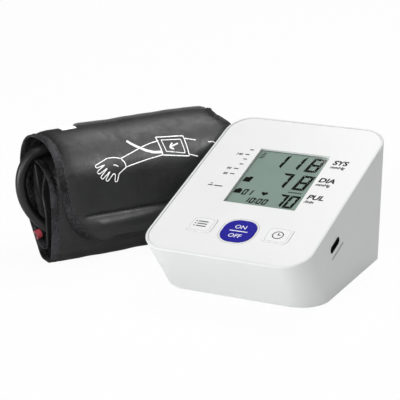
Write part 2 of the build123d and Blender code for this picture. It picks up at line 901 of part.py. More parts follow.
def air_socket():
    outer = -side_wall_x(socket_y, socket_z) - socket_seat
    body = rod_x(outer, air_line_x + socket_radius, socket_y, socket_z, socket_radius)
    body += rod_x(outer - socket_flange, outer, socket_y, socket_z, socket_flange_radius)
    body += upright(air_line_x, socket_y, nozzle_radius, socket_z - socket_radius - nozzle_length, socket_z)
    body -= rod_x(outer - socket_flange - cut_room, outer - socket_flange + socket_depth,
                  socket_y, socket_z, socket_bore)
    body -= rod_x(outer, air_line_x, socket_y, socket_z, nozzle_bore)
    nozzle_end = socket_z - socket_radius - nozzle_length
    return body - upright(air_line_x, socket_y, nozzle_bore, nozzle_end - cut_room, socket_z)


def valve_frame_piece():
    half = valve_width / 2
    back = valve_front + valve_length
    frame = block(air_line_x - half, air_line_x + half, valve_front, back, pump_z - half, pump_z + half)
    inner = half - valve_frame
    frame -= block(air_line_x - half - cut_room, air_line_x + half + cut_room, valve_front + valve_frame,
                   back - valve_frame, pump_z - inner, pump_z + inner)
    frame += rod_y(valve_front - nozzle_length, valve_front + valve_frame, air_line_x, pump_z, nozzle_radius)
    frame -= rod_y(valve_front - nozzle_length - cut_room, valve_front + valve_frame + cut_room,
                   air_line_x, pump_z, nozzle_bore)
    return frame - rod_y(back - valve_frame - cut_room, back + cut_room, air_line_x, pump_z,
                         plunger_radius + slide_gap)


coil_front = valve_front + valve_frame + coil_gap
coil_back = valve_front + valve_length - valve_frame


def valve_coil():
    half = valve_width / 2 - valve_frame
    coil = rod_y(coil_front, coil_back, air_line_x, pump_z, min(coil_radius, half))
    return coil - rod_y(coil_front - cut_room, coil_back + cut_room,
                        air_line_x, pump_z, plunger_radius + slide_gap)


def valve_plunger():
    back = valve_front + valve_length + plunger_end
    front = valve_front + valve_frame + plunger_travel + plunger_gap
    return rod_y(front, back, air_line_x, pump_z, plunger_radius)


def speaker_place(depth):
    return rear_plane.location * Pos(0, 0, -wall - depth)


def speaker_disc(radius, depth_from, depth_to):
    disc = Cylinder(radius, depth_to - depth_from, align=(Align.CENTER, Align.CENTER, Align.MAX))
    return speaker_place(depth_from) * disc


def speaker_frame():
    frame = speaker_disc(speaker_radius, speaker_seat, speaker_depth)
    frame -= speaker_disc(speaker_radius - speaker_rim, -cut_room, speaker_depth - speaker_rim)
    frame -= speaker_disc(magnet_radius, speaker_depth - speaker_rim - cut_room, speaker_depth + cut_room)
    return frame


def speaker_magnet():
    return speaker_disc(magnet_radius, speaker_depth - speaker_rim, speaker_depth + magnet_depth)


def speaker_cone():
    drop = speaker_seat + cone_travel + cone_gap
    shape = Cone(cone_radius, magnet_radius - cone_tip_setback, cone_depth,
                 align=(Align.CENTER, Align.CENTER, Align.MIN), rotation=(180, 0, 0))
    return speaker_place(drop + cone_paper) * shape - speaker_place(drop) * shape


def offset_path(points, radii, shift):
    """The path's points and corner radii, moved to its right-hand side by the shift."""
    directions = []
    for (x0, y0), (x1, y1) in zip(points, points[1:]):
        length = hypot(x1 - x0, y1 - y0)
        directions.append(((x1 - x0) / length, (y1 - y0) / length))
    moved = [(points[0][0] + directions[0][1] * shift, points[0][1] - directions[0][0] * shift)]
    for k in range(1, len(points) - 1):
        (ax, ay), (bx, by) = directions[k - 1], directions[k]
        bend = ax * by - ay * bx
        half = (1 + ax * bx + ay * by)
        x = points[k][0] + shift * (ay + by) / half
        y = points[k][1] - shift * (ax + bx) / half
        moved.append((x, y))
    moved.append((points[-1][0] + directions[-1][1] * shift, points[-1][1] - directions[-1][0] * shift))
    return moved, [radius + shift for radius in radii]


def wrap_face(points, radii, inner, outer):
    """A strip along the path, between two shifts to its outer side."""
    inner_points, inner_radii = offset_path(points, radii, inner)
    outer_points, outer_radii = offset_path(points, radii, outer)
    inside = FilletPolyline(*inner_points, radius=inner_radii)
    outside = FilletPolyline(*outer_points, radius=outer_radii)
    caps = [Line(inside @ 0, outside @ 0).edge(), Line(inside @ 1, outside @ 1).edge()]
    return make_face(inside.edges() + outside.edges() + caps)


turn = radians(roll_turn)
along = Vector(cos(turn), sin(turn), 0)
across = Vector(sin(turn), -cos(turn), 0)


def in_roll(distance, aside, height):
    """A point given along the roll, across it and up."""
    return Vector(roll_x, roll_y, 0) + along * distance + across * aside + Vector(0, 0, height)


def roll_extrude(face, start, length):
    """Extrudes a section of the roll from one distance along it."""
    plane = Plane(origin=in_roll(start, 0, 0), x_dir=tuple(across), z_dir=tuple(along * -1))
    return extrude(plane * face, length, dir=tuple(along))


half_wrap = wrap_thickness / 2
wrap_bottom = half_wrap
tail_bottom = wrap_bottom + wrap_thickness + layer_gap
wrap_points = [
    (roll_front, flap_end),
    (roll_front, roll_top),
    (roll_back, roll_top),
    (roll_back, shoulder_height),
    (outer_toe, wrap_bottom),
    (inner_front, wrap_bottom),
    (inner_front, inner_top),
    (inner_back, inner_top),
    (inner_back, shoulder_height),
    (inner_toe, tail_bottom),
    (inner_end, tail_bottom),
]
wrap_radii = [24.5, 24.5, 30.0, 14.0, 5.0, 17.0, 17.0, 18.0, 7.0]
bladder_first_index = 3
bladder_last_index = 7
bladder_start = (roll_back, bladder_outer_edge)
bladder_stop = (inner_back, bladder_inner_edge)
core = half_wrap - cloth_thickness
inside_start = hem_width
inside_length = roll_length - 2 * hem_width


def cuff_outer_cloth():
    strip = wrap_face(wrap_points, wrap_radii, core, half_wrap)
    end = Pos(roll_front + cloth_thickness / 2, flap_end + cloth_thickness / 2) * Rectangle(
        wrap_thickness - cloth_thickness, cloth_thickness)
    return roll_extrude(strip + end, inside_start, inside_length)


def cuff_inner_cloth():
    return roll_extrude(wrap_face(wrap_points, wrap_radii, -half_wrap, -core), inside_start, inside_length)


def cuff_hems():
    """The bound edges at both ends of the roll, through the wrap's full thickness."""
    section = wrap_face(wrap_points, wrap_radii, -half_wrap, half_wrap)
    return group([roll_extrude(section, start, hem_width) for start in (0, roll_length - hem_width)])


def cuff_bladder():
    points = [bladder_start] + wrap_points[bladder_first_index:bladder_last_index + 1] + [bladder_stop]
    section = wrap_face(points, wrap_radii[bladder_first_index - 1:bladder_last_index], -core, core)
    return roll_extrude(section, inside_start, inside_length)


def cuff_padding():
    flap = [(roll_front, flap_end + bar_room)] + wrap_points[1:bladder_first_index] + [bladder_start]
    tail = [bladder_stop] + wrap_points[bladder_last_index + 1:]
    sections = [wrap_face(flap, wrap_radii[:bladder_first_index - 1], -core, core),
                wrap_face(tail, wrap_radii[bladder_last_index:], -core, core)]
    return group([roll_extrude(section, inside_start, inside_length) for section in sections])


def cuff_bar():
    """The steel bar in the fold at the flap's end."""
    centre = flap_end + cloth_thickness + bar_radius + bar_gap
    return roll_extrude(Pos(roll_front, centre) * Circle(bar_radius), inside_start + 1, inside_length - 2)


def cuff_tail():
    """The thin hook flap at the inner end of the wrap."""
    aside = inner_front - half_wrap - tail_gap - tail_thickness / 2
    points = [wrap_points[-1], (aside, tail_bottom), (aside, tail_top)]
    section = wrap_face(points, [tail_bend], -tail_thickness / 2, tail_thickness / 2)
    return roll_extrude(section, hem_width / 2, roll_length - hem_width)


def cuff_hook_patch():
    inside = roll_front - half_wrap - hook_thickness / 2
    section = Pos(inside, flap_end + hook_setback + hook_length / 2) * Rectangle(hook_thickness, hook_length)
    return roll_extrude(section, 2 * hem_width, roll_length - 4 * hem_width)


def patch_section(start_angle, sweep_angle, thickness):
    """A strip lying on the rounded top of the roll's back."""
    centre = (roll_back + wrap_radii[1], roll_top - wrap_radii[1])
    low = CenterArc(centre, wrap_radii[1] + half_wrap, start_angle, sweep_angle)
    high = CenterArc(centre, wrap_radii[1] + half_wrap + thickness, start_angle, sweep_angle)
    ends = [Line(low @ 0, high @ 0).edge(), Line(low @ 1, high @ 1).edge()]
    return make_face([low.edge(), high.edge()] + ends)


def cuff_loop_patch():
    section = patch_section(patch_start_angle, patch_sweep_angle, patch_thickness)
    return roll_extrude(section, patch_start, patch_length)


def size_label():
    section = patch_section(label_start_angle, label_sweep_angle, label_thickness)
    return roll_extrude(section, label_start, label_length)


def corner_radii(points):
    """Each arc is 0.45 of its shorter run, divided by the tangent of half the turn."""
    radii = []
    for before, here, after in zip(points, points[1:], points[2:]):
        first, second = here - before, after - here
        half_turn = radians(first.get_angle(second) / 2)
        radii.append(0.45 * min(first.length, second.length) / tan(half_turn))
    return radii


hose_points = [in_roll(*point) for point in hose_route]
hose_radii = corner_radii(hose_points)
hose_path = FilletPolyline(*hose_points, radius=hose_radii)


def round_bar(start, direction, radius, length):
    return extrude(Plane(origin=start, z_dir=direction) * Circle(radius), length)


def air_hose():
    return sweep(Plane(origin=hose_path @ 0, z_dir=hose_path % 0) * Circle(hose_radius), path=hose_path)


def hose_port():
    """A moulded port that joins the hose to the bladder."""
    start = hose_path @ 0
    outwards = (hose_path % 0) * -1
    collar = round_bar(start, outwards, hose_radius, port_length)
    foot_low = inner_top + half_wrap
    half = (port_length - port_foot_margin) / 2
    foot = block(-half, half, -hose_radius, hose_radius, 0, start.Z - foot_low)
    centre = start + outwards * (port_length / 2)
    return collar + Pos(centre.X, centre.Y, foot_low) * Rot(0, 0, roll_turn) * foot


plug_start = hose_path @ 1
plug_direction = hose_path % 1


def air_plug():
    body = round_bar(plug_start, plug_direction, hose_radius, plug_body_length)
    nose_start = plug_start + plug_direction * (plug_body_length - weld)
    body += round_bar(nose_start, plug_direction, plug_nose_radius, plug_nose_length + weld)
    return body - round_bar(nose_start, plug_direction, plug_bore, plug_nose_length + cut_room)


def plug_seal():
    length = plug_body_length + plug_nose_length - seal_length
    start = plug_start + plug_direction * length
    ring = round_bar(start, plug_direction, plug_nose_radius + seal_thickness, seal_length)
    bore_start = start - plug_direction * cut_room
    return ring - round_bar(bore_start, plug_direction, plug_nose_radius, seal_length + 2 * cut_room)


pieces = {
    "top_housing": top_housing(),
    "bottom_cover": bottom_cover(),
    "face_plate": face_plate(),
    "display_window": display_window(),
    "display_glass": display_glass(),
    "backlight_panel": backlight_panel(),
    "display_holder": display_holder(),
    "contact_strip": contact_strip(),
    "main_board": main_board(),
    "board_parts": board_parts(),
    "pressure_sensor": pressure_sensor(),
    "usb_socket": usb_socket(),
    "key_switches": group([switch_body(name) for name in keys]),
    "board_screws": group([board_screw(x, t) for x, t in board_bosses]),
    "housing_screws": group([housing_screw(x, y) for x, y in housing_bosses]),
    "rubber_feet": group([rubber_foot(x, y) for x, y in feet_places]),
    "battery_door": battery_door(),
    "batteries": group([battery_cell(x, k % 2 == 0) for k, x in enumerate(cell_places)]),
    "battery_contacts": battery_contacts(),
    "contact_leaves": group([contact_leaf(x, k % 2 == 0) for k, x in enumerate(cell_places)]),
    "motor_can": motor_can(),
    "motor_shaft": motor_shaft(),
    "motor_rotor": motor_rotor(),
    "motor_magnets": motor_magnets(),
    "pump_sleeve": pump_sleeve(),
    "pump_crank": pump_crank(),
    "pump_head": pump_head(),
    "pump_diaphragm": pump_diaphragm(),
    "pump_cap": pump_cap(),
    "air_manifold": air_manifold(),
    "air_tubes": group([pump_tube(), sensor_tube(), socket_tube(), valve_tube()]),
    "air_socket": air_socket(),
    "valve_frame": valve_frame_piece(),
    "valve_coil": valve_coil(),
    "valve_plunger": valve_plunger(),
    "speaker_frame": speaker_frame(),
    "speaker_magnet": speaker_magnet(),
    "speaker_cone": speaker_cone(),
    "cuff_outer_cloth": cuff_outer_cloth(),
    "cuff_inner_cloth": cuff_inner_cloth(),
    "cuff_hems": cuff_hems(),
    "cuff_bladder": cuff_bladder(),
    "cuff_padding": cuff_padding(),
    "cuff_bar": cuff_bar(),
    "cuff_tail": cuff_tail(),
    "cuff_hook_patch": cuff_hook_patch(),
    "cuff_loop_patch": cuff_loop_patch(),
    "size_label": size_label(),
    "hose_port": hose_port(),
    "air_hose": air_hose(),
    "air_plug": air_plug(),
    "plug_seal": plug_seal(),
}
for name in keys:
    pieces[f"{name}_key"] = key_cap(name)
    pieces[f"{name}_stem"] = switch_stem(name)

# The origin is the middle of the footprint, without the hose and what is on it
cord_pieces = ("air_hose", "air_plug", "plug_seal", "hose_port")
footprint = Compound(children=[solid for name, piece in pieces.items() if name not in cord_pieces
                               for solid in piece.solids()]).bounding_box()
origin_shift = Pos(-footprint.center().X, -footprint.center().Y, 0)

for name, piece in pieces.items():
    export_step(origin_shift * piece, f"parts/{name}.step")

hose_length = hose_path.length
print("origin shift", origin_shift.position)
print("footprint", footprint.min, footprint.max)
print("hose length", round(hose_length, 1), "mm, radii", [round(radius, 1) for radius in hose_radii])
print("hose volume", round(pieces["air_hose"].volume, 1),
      "against section times length", round(pi * hose_radius ** 2 * hose_length, 1))
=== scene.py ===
from math import cos, pi, radians, sin, tan

import bpy
import numpy as np
from mathutils import Matrix, Vector


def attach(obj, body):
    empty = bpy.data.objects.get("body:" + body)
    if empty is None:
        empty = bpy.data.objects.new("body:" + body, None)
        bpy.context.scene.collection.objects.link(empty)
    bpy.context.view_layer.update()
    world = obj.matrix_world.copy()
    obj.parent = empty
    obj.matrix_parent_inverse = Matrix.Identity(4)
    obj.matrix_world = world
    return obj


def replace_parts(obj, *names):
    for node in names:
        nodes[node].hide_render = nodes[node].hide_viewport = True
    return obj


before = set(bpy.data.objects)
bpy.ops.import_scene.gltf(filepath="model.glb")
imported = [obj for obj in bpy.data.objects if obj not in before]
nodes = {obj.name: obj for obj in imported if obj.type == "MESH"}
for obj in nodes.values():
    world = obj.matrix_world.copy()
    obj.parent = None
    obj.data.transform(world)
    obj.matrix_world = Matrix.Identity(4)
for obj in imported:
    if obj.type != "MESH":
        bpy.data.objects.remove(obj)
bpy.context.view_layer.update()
print("frame loaded with", len(nodes), "nodes")

mm = 0.001
scene = bpy.context.scene
scene.view_settings.view_transform = "Standard"


def linear(hexColour):
    # sRGB hex to linear red, green, blue and full alpha
    parts = [int(hexColour[k:k + 2], 16) / 255 for k in (1, 3, 5)]
    return [c / 12.92 if c <= 0.04045 else ((c + 0.055) / 1.055) ** 2.4 for c in parts] + [1.0]


# Camera: a long lens, 963 mm from the middle of the group, seen a little from the right and above
camera = {
    "target": (-0.0012468, 0.0101372, 0.030),
    "azimuth": 28.3114,
    "elevation": 18.3105,
    "roll": -1.5809,
    "distance": 0.963466,
    "sensor": 36.0,
    "focalInWidths": 3.738584,
    "centreX": 0.494855,
    "centreY": 0.512080,
}


def makeCamera():
    az, el = radians(camera["azimuth"]), radians(camera["elevation"])
    back = Vector((sin(az) * cos(el), -cos(az) * cos(el), sin(el)))
    right = Vector((cos(az), sin(az), 0))
    up = back.cross(right)
    turned = Matrix((right, up, back)).transposed() @ Matrix.Rotation(radians(camera["roll"]), 3, "Z")
    lens = bpy.data.cameras.new("photoCamera")
    lens.sensor_width = camera["sensor"]
    lens.lens = camera["sensor"] * camera["focalInWidths"]
    lens.shift_x = 0.5 - camera["centreX"]
    lens.shift_y = camera["centreY"] - 0.5
    lens.clip_start, lens.clip_end = 0.02, 20
    obj = bpy.data.objects.new("photoCamera", lens)
    place = Vector(camera["target"]) + back * camera["distance"]
    obj.matrix_world = Matrix.Translation(place) @ turned.to_4x4()
    scene.collection.objects.link(obj)
    scene.camera = obj


makeCamera()
print("camera placed")

# Where things are. The cuff's places are given along its roll, towards the viewer and up, and
# the face's places across it, up its slope and below its rim, all in millimetres.
layout = {
    "rollOrigin": (-76.9583, -54.0592, 0.0),
    "rollTurn": 53.9,
    "faceOrigin": (59.7417, -82.3592, 34.1),
    "faceSlope": 18.7,
}
rollTurn = radians(layout["rollTurn"])
rollAlong = np.array([cos(rollTurn), sin(rollTurn), 0.0])
rollAcross = np.array([sin(rollTurn), -cos(rollTurn), 0.0])
faceSlope = radians(layout["faceSlope"])
faceUp = np.array([0.0, cos(faceSlope), sin(faceSlope)])
faceOut = np.array([0.0, -sin(faceSlope), cos(faceSlope)])
rightwards, upwards = np.array([1.0, 0.0, 0.0]), np.array([0.0, 0.0, 1.0])


def placed(origin, steps, axes):
    # origin + each step * its axis, in metres
    place = np.array(origin)
    for step, axis in zip(np.broadcast_arrays(*(np.asarray(step, float)[..., None] for step in steps)), axes):
        place = place + step * axis
    return place * mm


def inRoll(along, aside, height):
    return placed(layout["rollOrigin"], (along, aside, height), (rollAlong, rollAcross, upwards))


def onFace(x, t, depth):
    return placed(layout["faceOrigin"], (x, t, depth), (rightwards, faceUp, -faceOut))


def addNode(tree, kind, inputs=None, links=None, **settings):
    # a shader node with its settings, its plain inputs and the sockets that feed it
    node = tree.nodes.new("ShaderNode" + kind)
    for name, value in settings.items():
        setattr(node, name, value)
    for name, value in (inputs or {}).items():
        node.inputs[name].default_value = value
    for name, socket in (links or {}).items():
        tree.links.new(socket, node.inputs[name])
    return node


def newMaterial(name):
    # an empty material and its node tree
    made = bpy.data.materials.new(name)
    made.use_nodes = True
    made.node_tree.nodes.clear()
    return made, made.node_tree


def finishSurface(tree, tint, reliefs, shader, gloss=None):
    # the end that the patterned materials share: a colour that goes from dark to light as its pattern goes
    # from low to high, reliefs one on another, and a roughness that follows a pattern where gloss is uneven
    links = {}
    for pattern, strength, depthMm in reliefs:
        links["Height"] = pattern
        bump = addNode(tree, "Bump", {"Strength": strength, "Distance": depthMm * mm}, links)
        links = {"Normal": bump.outputs["Normal"]}
    pattern, low, dark, high, light = tint
    ramp = addNode(tree, "ValToRGB", links={"Fac": pattern})
    for element, place, colour in zip(ramp.color_ramp.elements, (low, high), (dark, light)):
        element.position = place
        element.color = colour
    links["Base Color"] = ramp.outputs["Color"]
    if gloss:
        pattern, least, most = gloss
        span = {"From Min": 0.3, "From Max": 0.7, "To Min": least, "To Max": most}
        links["Roughness"] = addNode(tree, "MapRange", span, {"Value": pattern}).outputs["Result"]
    surface = addNode(tree, "BsdfPrincipled", shader, links)
    addNode(tree, "OutputMaterial", links={"Surface": surface.outputs[0]})


# Each kind of material fills a tree, and its patterns follow a place on the piece
def mouldedPlastic(tree, place, colour, roughness, grainMm=0.35, grainDepth=0.012, shade=0.03, ior=1.53,
                   cloudMm=35.71):
    # injection-moulded plastic: an even colour, a fine spark-eroded grain and slightly uneven gloss
    grain = addNode(tree, "TexNoise", {"Scale": 1 / (grainMm * mm), "Detail": 3.0}, place).outputs["Fac"]
    cloud = addNode(tree, "TexNoise", {"Scale": 1 / (cloudMm * mm), "Detail": 2.0}, place).outputs["Fac"]
    base = linear(colour)
    dark = [c * (1 - shade) for c in base[:3]] + [1.0]
    gloss = (cloud, roughness - 0.04, roughness + 0.04)
    finishSurface(tree, (cloud, 0.35, dark, 0.65, base), [(grain, 0.5, grainDepth)], {"IOR": ior}, gloss)


def rubber(tree, place, colour, roughness, dust, cloudMm=16.67, grainMm=0.4545):
    # cured rubber: near black, with a dry bloom that lightens it in soft patches
    cloud = addNode(tree, "TexNoise", {"Scale": 1 / (cloudMm * mm), "Detail": 4.0}, place).outputs["Fac"]
    grain = addNode(tree, "TexNoise", {"Scale": 1 / (grainMm * mm), "Detail": 2.0}, place).outputs["Fac"]
    base = linear(colour)
    bloom = [c + (0.04 - c * 0.2) * dust for c in base[:3]] + [1.0]
    gloss = (cloud, roughness - 0.07, roughness + 0.08)
    finishSurface(tree, (cloud, 0.4, base, 0.75, bloom), [(grain, 0.4, 0.02)], {"IOR": 1.52}, gloss)


def drawnMetal(tree, place, colour, roughness=0.32, lineMm=0.25, along=(1.0, 1.0, 0.03)):
    # rolled or drawn metal: long fine lines along the sheet and a slightly uneven polish
    stretched = {"Vector": addNode(tree, "Mapping", {"Scale": along}, place).outputs["Vector"]}
    lines = addNode(tree, "TexNoise", {"Scale": 1 / (lineMm * mm), "Detail": 4.0}, stretched).outputs["Fac"]
    base = linear(colour)
    worn = [c * 0.8 for c in base[:3]] + [1.0]
    gloss = (lines, roughness - 0.08, roughness + 0.1)
    finishSurface(tree, (lines, 0.3, worn, 0.7, base), [(lines, 0.3, 0.01)], {"Metallic": 1.0}, gloss)


def coatedNylon(tree, place, colour, light, roughness, threadMm=0.9, creaseDepth=0.3, weaveDepth=0.05,
                creaseMm=4.762, crestSheen=0.0, ior=1.5, cloudMm=22.22):
    # woven nylon with a thin coat: a satin gloss over a plain weave, a tone that varies in soft clouds, and
    # pale specks painted on the crests of its creases as sheen. The real threads are 0.3 mm apart, too fine
    # to show, so they are drawn 0.8 or 0.9 mm apart. A wave's scale is 0.314 / its length
    bands = {"Scale": 0.314 / (threadMm * mm), "Distortion": 0.6}
    warp, weft = (addNode(tree, "TexWave", bands, place, bands_direction=way).outputs["Fac"] for way in "XY")
    weave = addNode(tree, "Math", links={0: warp, 1: weft}, operation="ADD").outputs[0]
    cloud = addNode(tree, "TexNoise", {"Scale": 1 / (cloudMm * mm), "Detail": 5.0}, place).outputs["Fac"]
    folds = {"Scale": 1 / (creaseMm * mm), "Detail": 3.0, "Distortion": 0.8}
    crease = addNode(tree, "TexNoise", folds, place).outputs["Fac"]
    # the creases' crests made lighter, painted sheen, over the clouds' random tone
    mottleAndSheen = addNode(tree, "Math", {1: crestSheen}, {0: crease, 2: cloud}, operation="MULTIPLY_ADD").outputs[0]
    tint = (mottleAndSheen, 0.4 + 0.5 * crestSheen, linear(colour), 0.62 + 0.5 * crestSheen, linear(light))
    finishSurface(tree, tint, [(crease, 0.4, creaseDepth), (weave, 0.25, weaveDepth)],
                  {"IOR": ior, "Sheen Weight": 0.02, "Sheen Roughness": 0.45},
                  (crease, roughness - 0.07, roughness + 0.07))


def brushedPile(tree, place, colour, light, tuftMm=0.7143):
    # loop pile of a touch fastener: matt, fuzzy tufts
    tufts = addNode(tree, "TexNoise", {"Scale": 1 / (tuftMm * mm), "Detail": 4.0}, place).outputs["Fac"]
    finishSurface(tree, (tufts, 0.35, linear(colour), 0.7, linear(light)), [(tufts, 0.8, 0.3)],
                  {"Roughness": 0.9, "Sheen Weight": 0.3, "Sheen Roughness": 0.5})


def inkAndPaintedShade(tree, place, colour, worn, roughness=0.5, patchMm=1.5, ior=1.5):
    # screen-printed ink: an even film that thins a little in spots. It also gives the grey painted shade
    # round the keys and of the line in the casing's wall
    spots = addNode(tree, "TexNoise", {"Scale": 1 / (patchMm * mm), "Detail": 3.0}, place).outputs["Fac"]
    finishSurface(tree, (spots, 0.3, linear(worn), 0.5, linear(colour)), [(spots, 0.2, 0.02)],
                  {"Roughness": roughness, "IOR": ior})


def clearAcrylic(tree, place, smearMm=11.11):
    # polished clear acrylic: what lies behind shows straight through, and only the sheen of the
    # outer faces is added
    smears = addNode(tree, "TexNoise", {"Scale": 1 / (smearMm * mm), "Detail": 2.0}, place)
    gloss = addNode(tree, "MapRange", {"To Min": 0.03, "To Max": 0.12}, {"Value": smears.outputs["Fac"]})
    clear = addNode(tree, "BsdfTransparent", {"Color": (0.97, 0.985, 0.98, 1)})
    shine = addNode(tree, "BsdfGlossy", {"Color": (1, 1, 1, 1)}, {"Roughness": gloss.outputs["Result"]})
    rim = addNode(tree, "Fresnel", {"IOR": 1.49})
    face = addNode(tree, "NewGeometry")
    front = addNode(tree, "Math", {0: 1.0}, {1: face.outputs["Backfacing"]}, operation="SUBTRACT")
    share = addNode(tree, "Math", links={0: rim.outputs["Fac"], 1: front.outputs[0]}, operation="MULTIPLY")
    mixed = addNode(tree, "MixShader", links={0: share.outputs[0], 1: clear.outputs[0], 2: shine.outputs[0]})
    addNode(tree, "OutputMaterial", links={"Surface": mixed.outputs[0]})


# Each kind of material: its names, each with its settings, in the order of the kind's function, and the
# CAD nodes that have it. The rest go on new pieces.
recipes = {
    mouldedPlastic: {
        # satin white shell, its smoother face and the keys
        "whiteAbs": (("#E6E8E7", 0.42), "top_housing", "bottom_cover", "battery_door"),
        "facePanelAbs": (("#F0F0F0", 0.36, 0.3, 0.006, 0.012), "face_plate"),
        "keyAbs": (("#F3F3F3", 0.34, 0.3, 0.006, 0.015), "memory_key", "set_key"),
        "blueKeyAbs": (("#231F97", 0.45, 0.3, 0.008, 0.08, 1.2), "start_key"),
        # charcoal stems and fittings, and a black that gives no gloss, for the socket and the painted shade
        # lining its slot
        "darkAbs": (("#1C1C1E", 0.45), "air_socket", "memory_stem", "start_stem", "set_stem", "key_switches",
                    "hose_port", "air_plug"),
        "socketBlackAndShade": (("#09090A", 0.8, 0.3, 0.01, 0.1, 1.2), "usb_socket"),
        # milky and clear sheets round the display
        "naturalNylon": (("#D9D8CF", 0.5, 0.5), "display_holder", "pump_head", "pump_cap", "air_manifold"),
        "milkyAcrylic": (("#E8EEE9", 0.25, 0.6, 0.004, 0.02, 1.49), "backlight_panel"),
        "displayGlass": (("#8A9A92", 0.12, 0.8, 0.002, 0.03, 1.5), "display_glass"),
        # glossy varnish over green, dull dark resin and ferrite, soft black paper and shrunk film
        "boardLaminate": (("#1F5A36", 0.3, 0.8, 0.02, 0.2), "main_board"),
        "chipResin": (("#232326", 0.5, 0.25, 0.02), "board_parts", "pressure_sensor"),
        "ferrite": (("#3A3A3D", 0.55, 0.4, 0.03, 0.15), "motor_magnets", "speaker_magnet"),
        "pressedPaper": (("#2B2A29", 0.85, 0.5, 0.05, 0.2), "speaker_cone"),
        "cellSleeve": (("#2E4A38", 0.25, 0.8, 0.004, 0.1), "batteries"),
    },
    clearAcrylic: {"windowAcrylic": ((), "display_window")},
    rubber: {
        "blackRubber": (("#0E0E0F", 0.42, 0.12), "rubber_feet"),
        "greySilicone": (("#8A8A88", 0.45, 0.1), "contact_strip", "pump_diaphragm", "air_tubes",
                         "pump_sleeve"),
        "redSilicone": (("#C24A55", 0.4, 0.2), "plug_seal"),
    },
    drawnMetal: {
        "platedSteel": (("#C9CBCB",), "board_screws", "housing_screws", "motor_can", "motor_shaft",
                        "motor_rotor", "valve_frame", "valve_plunger", "speaker_frame", "battery_contacts",
                        "contact_leaves"),
        "woundCopper": (("#C87C4A", 0.35, 0.3, (1.0, 0.05, 1.0)), "valve_coil"),
        "turnedBrass": (("#D3B069", 0.3, 0.2, (0.05, 1.0, 1.0)), "pump_crank"),
    },
    coatedNylon: {
        # the cuff's cloth, and the tape bound round its edges, with pale specks of painted sheen on its
        # creases' crests
        "cuffNylon": (("#080809", "#101011", 0.46),),
        "bindingTape": (("#070708", "#323235", 0.5, 0.8, 0.9, 0.14, 1.5625, 0.6, 1.28),),
    },
    brushedPile: {"loopPile": (("#2C2C2E", "#4C4C4F"),)},
    inkAndPaintedShade: {
        # a soft satin label and dull thread
        "wovenLabel": (("#F2F2F2", "#D5D5D5", 0.7),),
        "stitchThread": (("#3A3A3C", "#1E1E20", 0.6, 2.0),),
        # inks on the cuff, the face and the keys, and a pale grey for the painted shade in the groove and
        # gaps round the keys
        "whiteInk": (("#F0F0F0", "#B9B9BB"),),
        "greyInk": (("#161618", "#262628", 0.8, 1.5, 1.3),),
        "paintedGapShade": (("#B9BBBB", "#C9CBCB"),),
        "keyInk": (("#F4F4F8", "#DADAEC"),),
        # the display's grey green film and its lit segments, and painted shade for a line cut in the casing
        "displayFilm": (("#8B9D94", "#86988F", 0.7, 30.0, 1.15),),
        "displayDark": (("#070908", "#0D0F0E", 0.8, 1.5, 1.1),),
        "paintedCutShade": (("#A8A9A9", "#B0B1B1", 0.6),),
    },
}
materials = {}


def makeMaterials():
    # the weave follows the cloth's UV map, and every other pattern the place in the piece
    for kind, recipe in recipes.items():
        coordinates = "UV" if kind is coatedNylon else "Object"
        for name, (settings, *members) in recipe.items():
            materials[name], tree = newMaterial(name)
            kind(tree, {"Vector": addNode(tree, "TexCoord").outputs[coordinates]}, *settings)
            for member in members:
                slots = nodes[member].data.materials
                slots.clear()
                slots.append(materials[name])


makeMaterials()
print(len(materials), "materials made and set")

# Air hose: comes out between the turns at the top, hangs in a loop outside the roll's end, goes back
# in low down, turns inside the roll and ends in its plug
airHose = {
    "route": [
        (75.0, -16.0, 72.2), (38.0, -14.8, 71.9), (2.0, -13.2, 72.0), (-8.2, -12.2, 62.8),
        (-11.2, -11.0, 49.0), (-7.4, -9.0, 34.4), (3.4, -7.0, 21.6), (18.0, -6.6, 14.6),
        (48.0, -6.9, 14.1), (80.0, -7.4, 15.0), (108.6, -8.0, 14.2), (122.6, -11.2, 27.4),
        (122.6, -15.8, 44.6), (109.4, -19.0, 57.0), (84.0, -19.6, 58.0), (56.0, -16.8, 42.0),
        (33.4, -14.5, 26.0), (18.5, -14.2, 21.5),
    ],
    "radius": 3.5,
    "length": 394.0,
}


def makeHose():
    route = inRoll(*np.array(airHose["route"]).T)
    line = bpy.data.curves.new("airHose", "CURVE")
    line.dimensions = "3D"
    line.bevel_depth = airHose["radius"] * mm
    line.bevel_resolution = 6
    line.resolution_u = 10
    line.use_fill_caps = True
    spline = line.splines.new("NURBS")
    spline.points.add(len(route) - 1)
    spline.points.foreach_set("co", np.hstack([route, np.ones((len(route), 1))]).ravel())
    spline.order_u = 3
    spline.use_endpoint_u = True
    line.materials.append(materials["blackRubber"])
    hose = bpy.data.objects.new("airHose", line)
    scene.collection.objects.link(hose)
    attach(hose, "cuff")
    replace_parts(hose, "air_hose")


makeHose()
print("hose laid")


def enclosedVolume(points, faces):
    # a sixth of the sum of each triangle's scalar triple product
    total = 0.0
    for face in faces:
        corners = points[face]
        for k in range(1, face.shape[1] - 1):
            total += np.einsum("ij,ij->", corners[:, 0], np.cross(corners[:, k], corners[:, k + 1]))
    return total / 6


def joined(shapes):
    # several shapes as one: each is its points and its arrays of faces
    points, faces, start = [], [], 0
    for spots, polygons in shapes:
        points.append(spots)
        faces += [face + start for face in polygons]
        start += len(spots)
    return np.vstack(points), faces


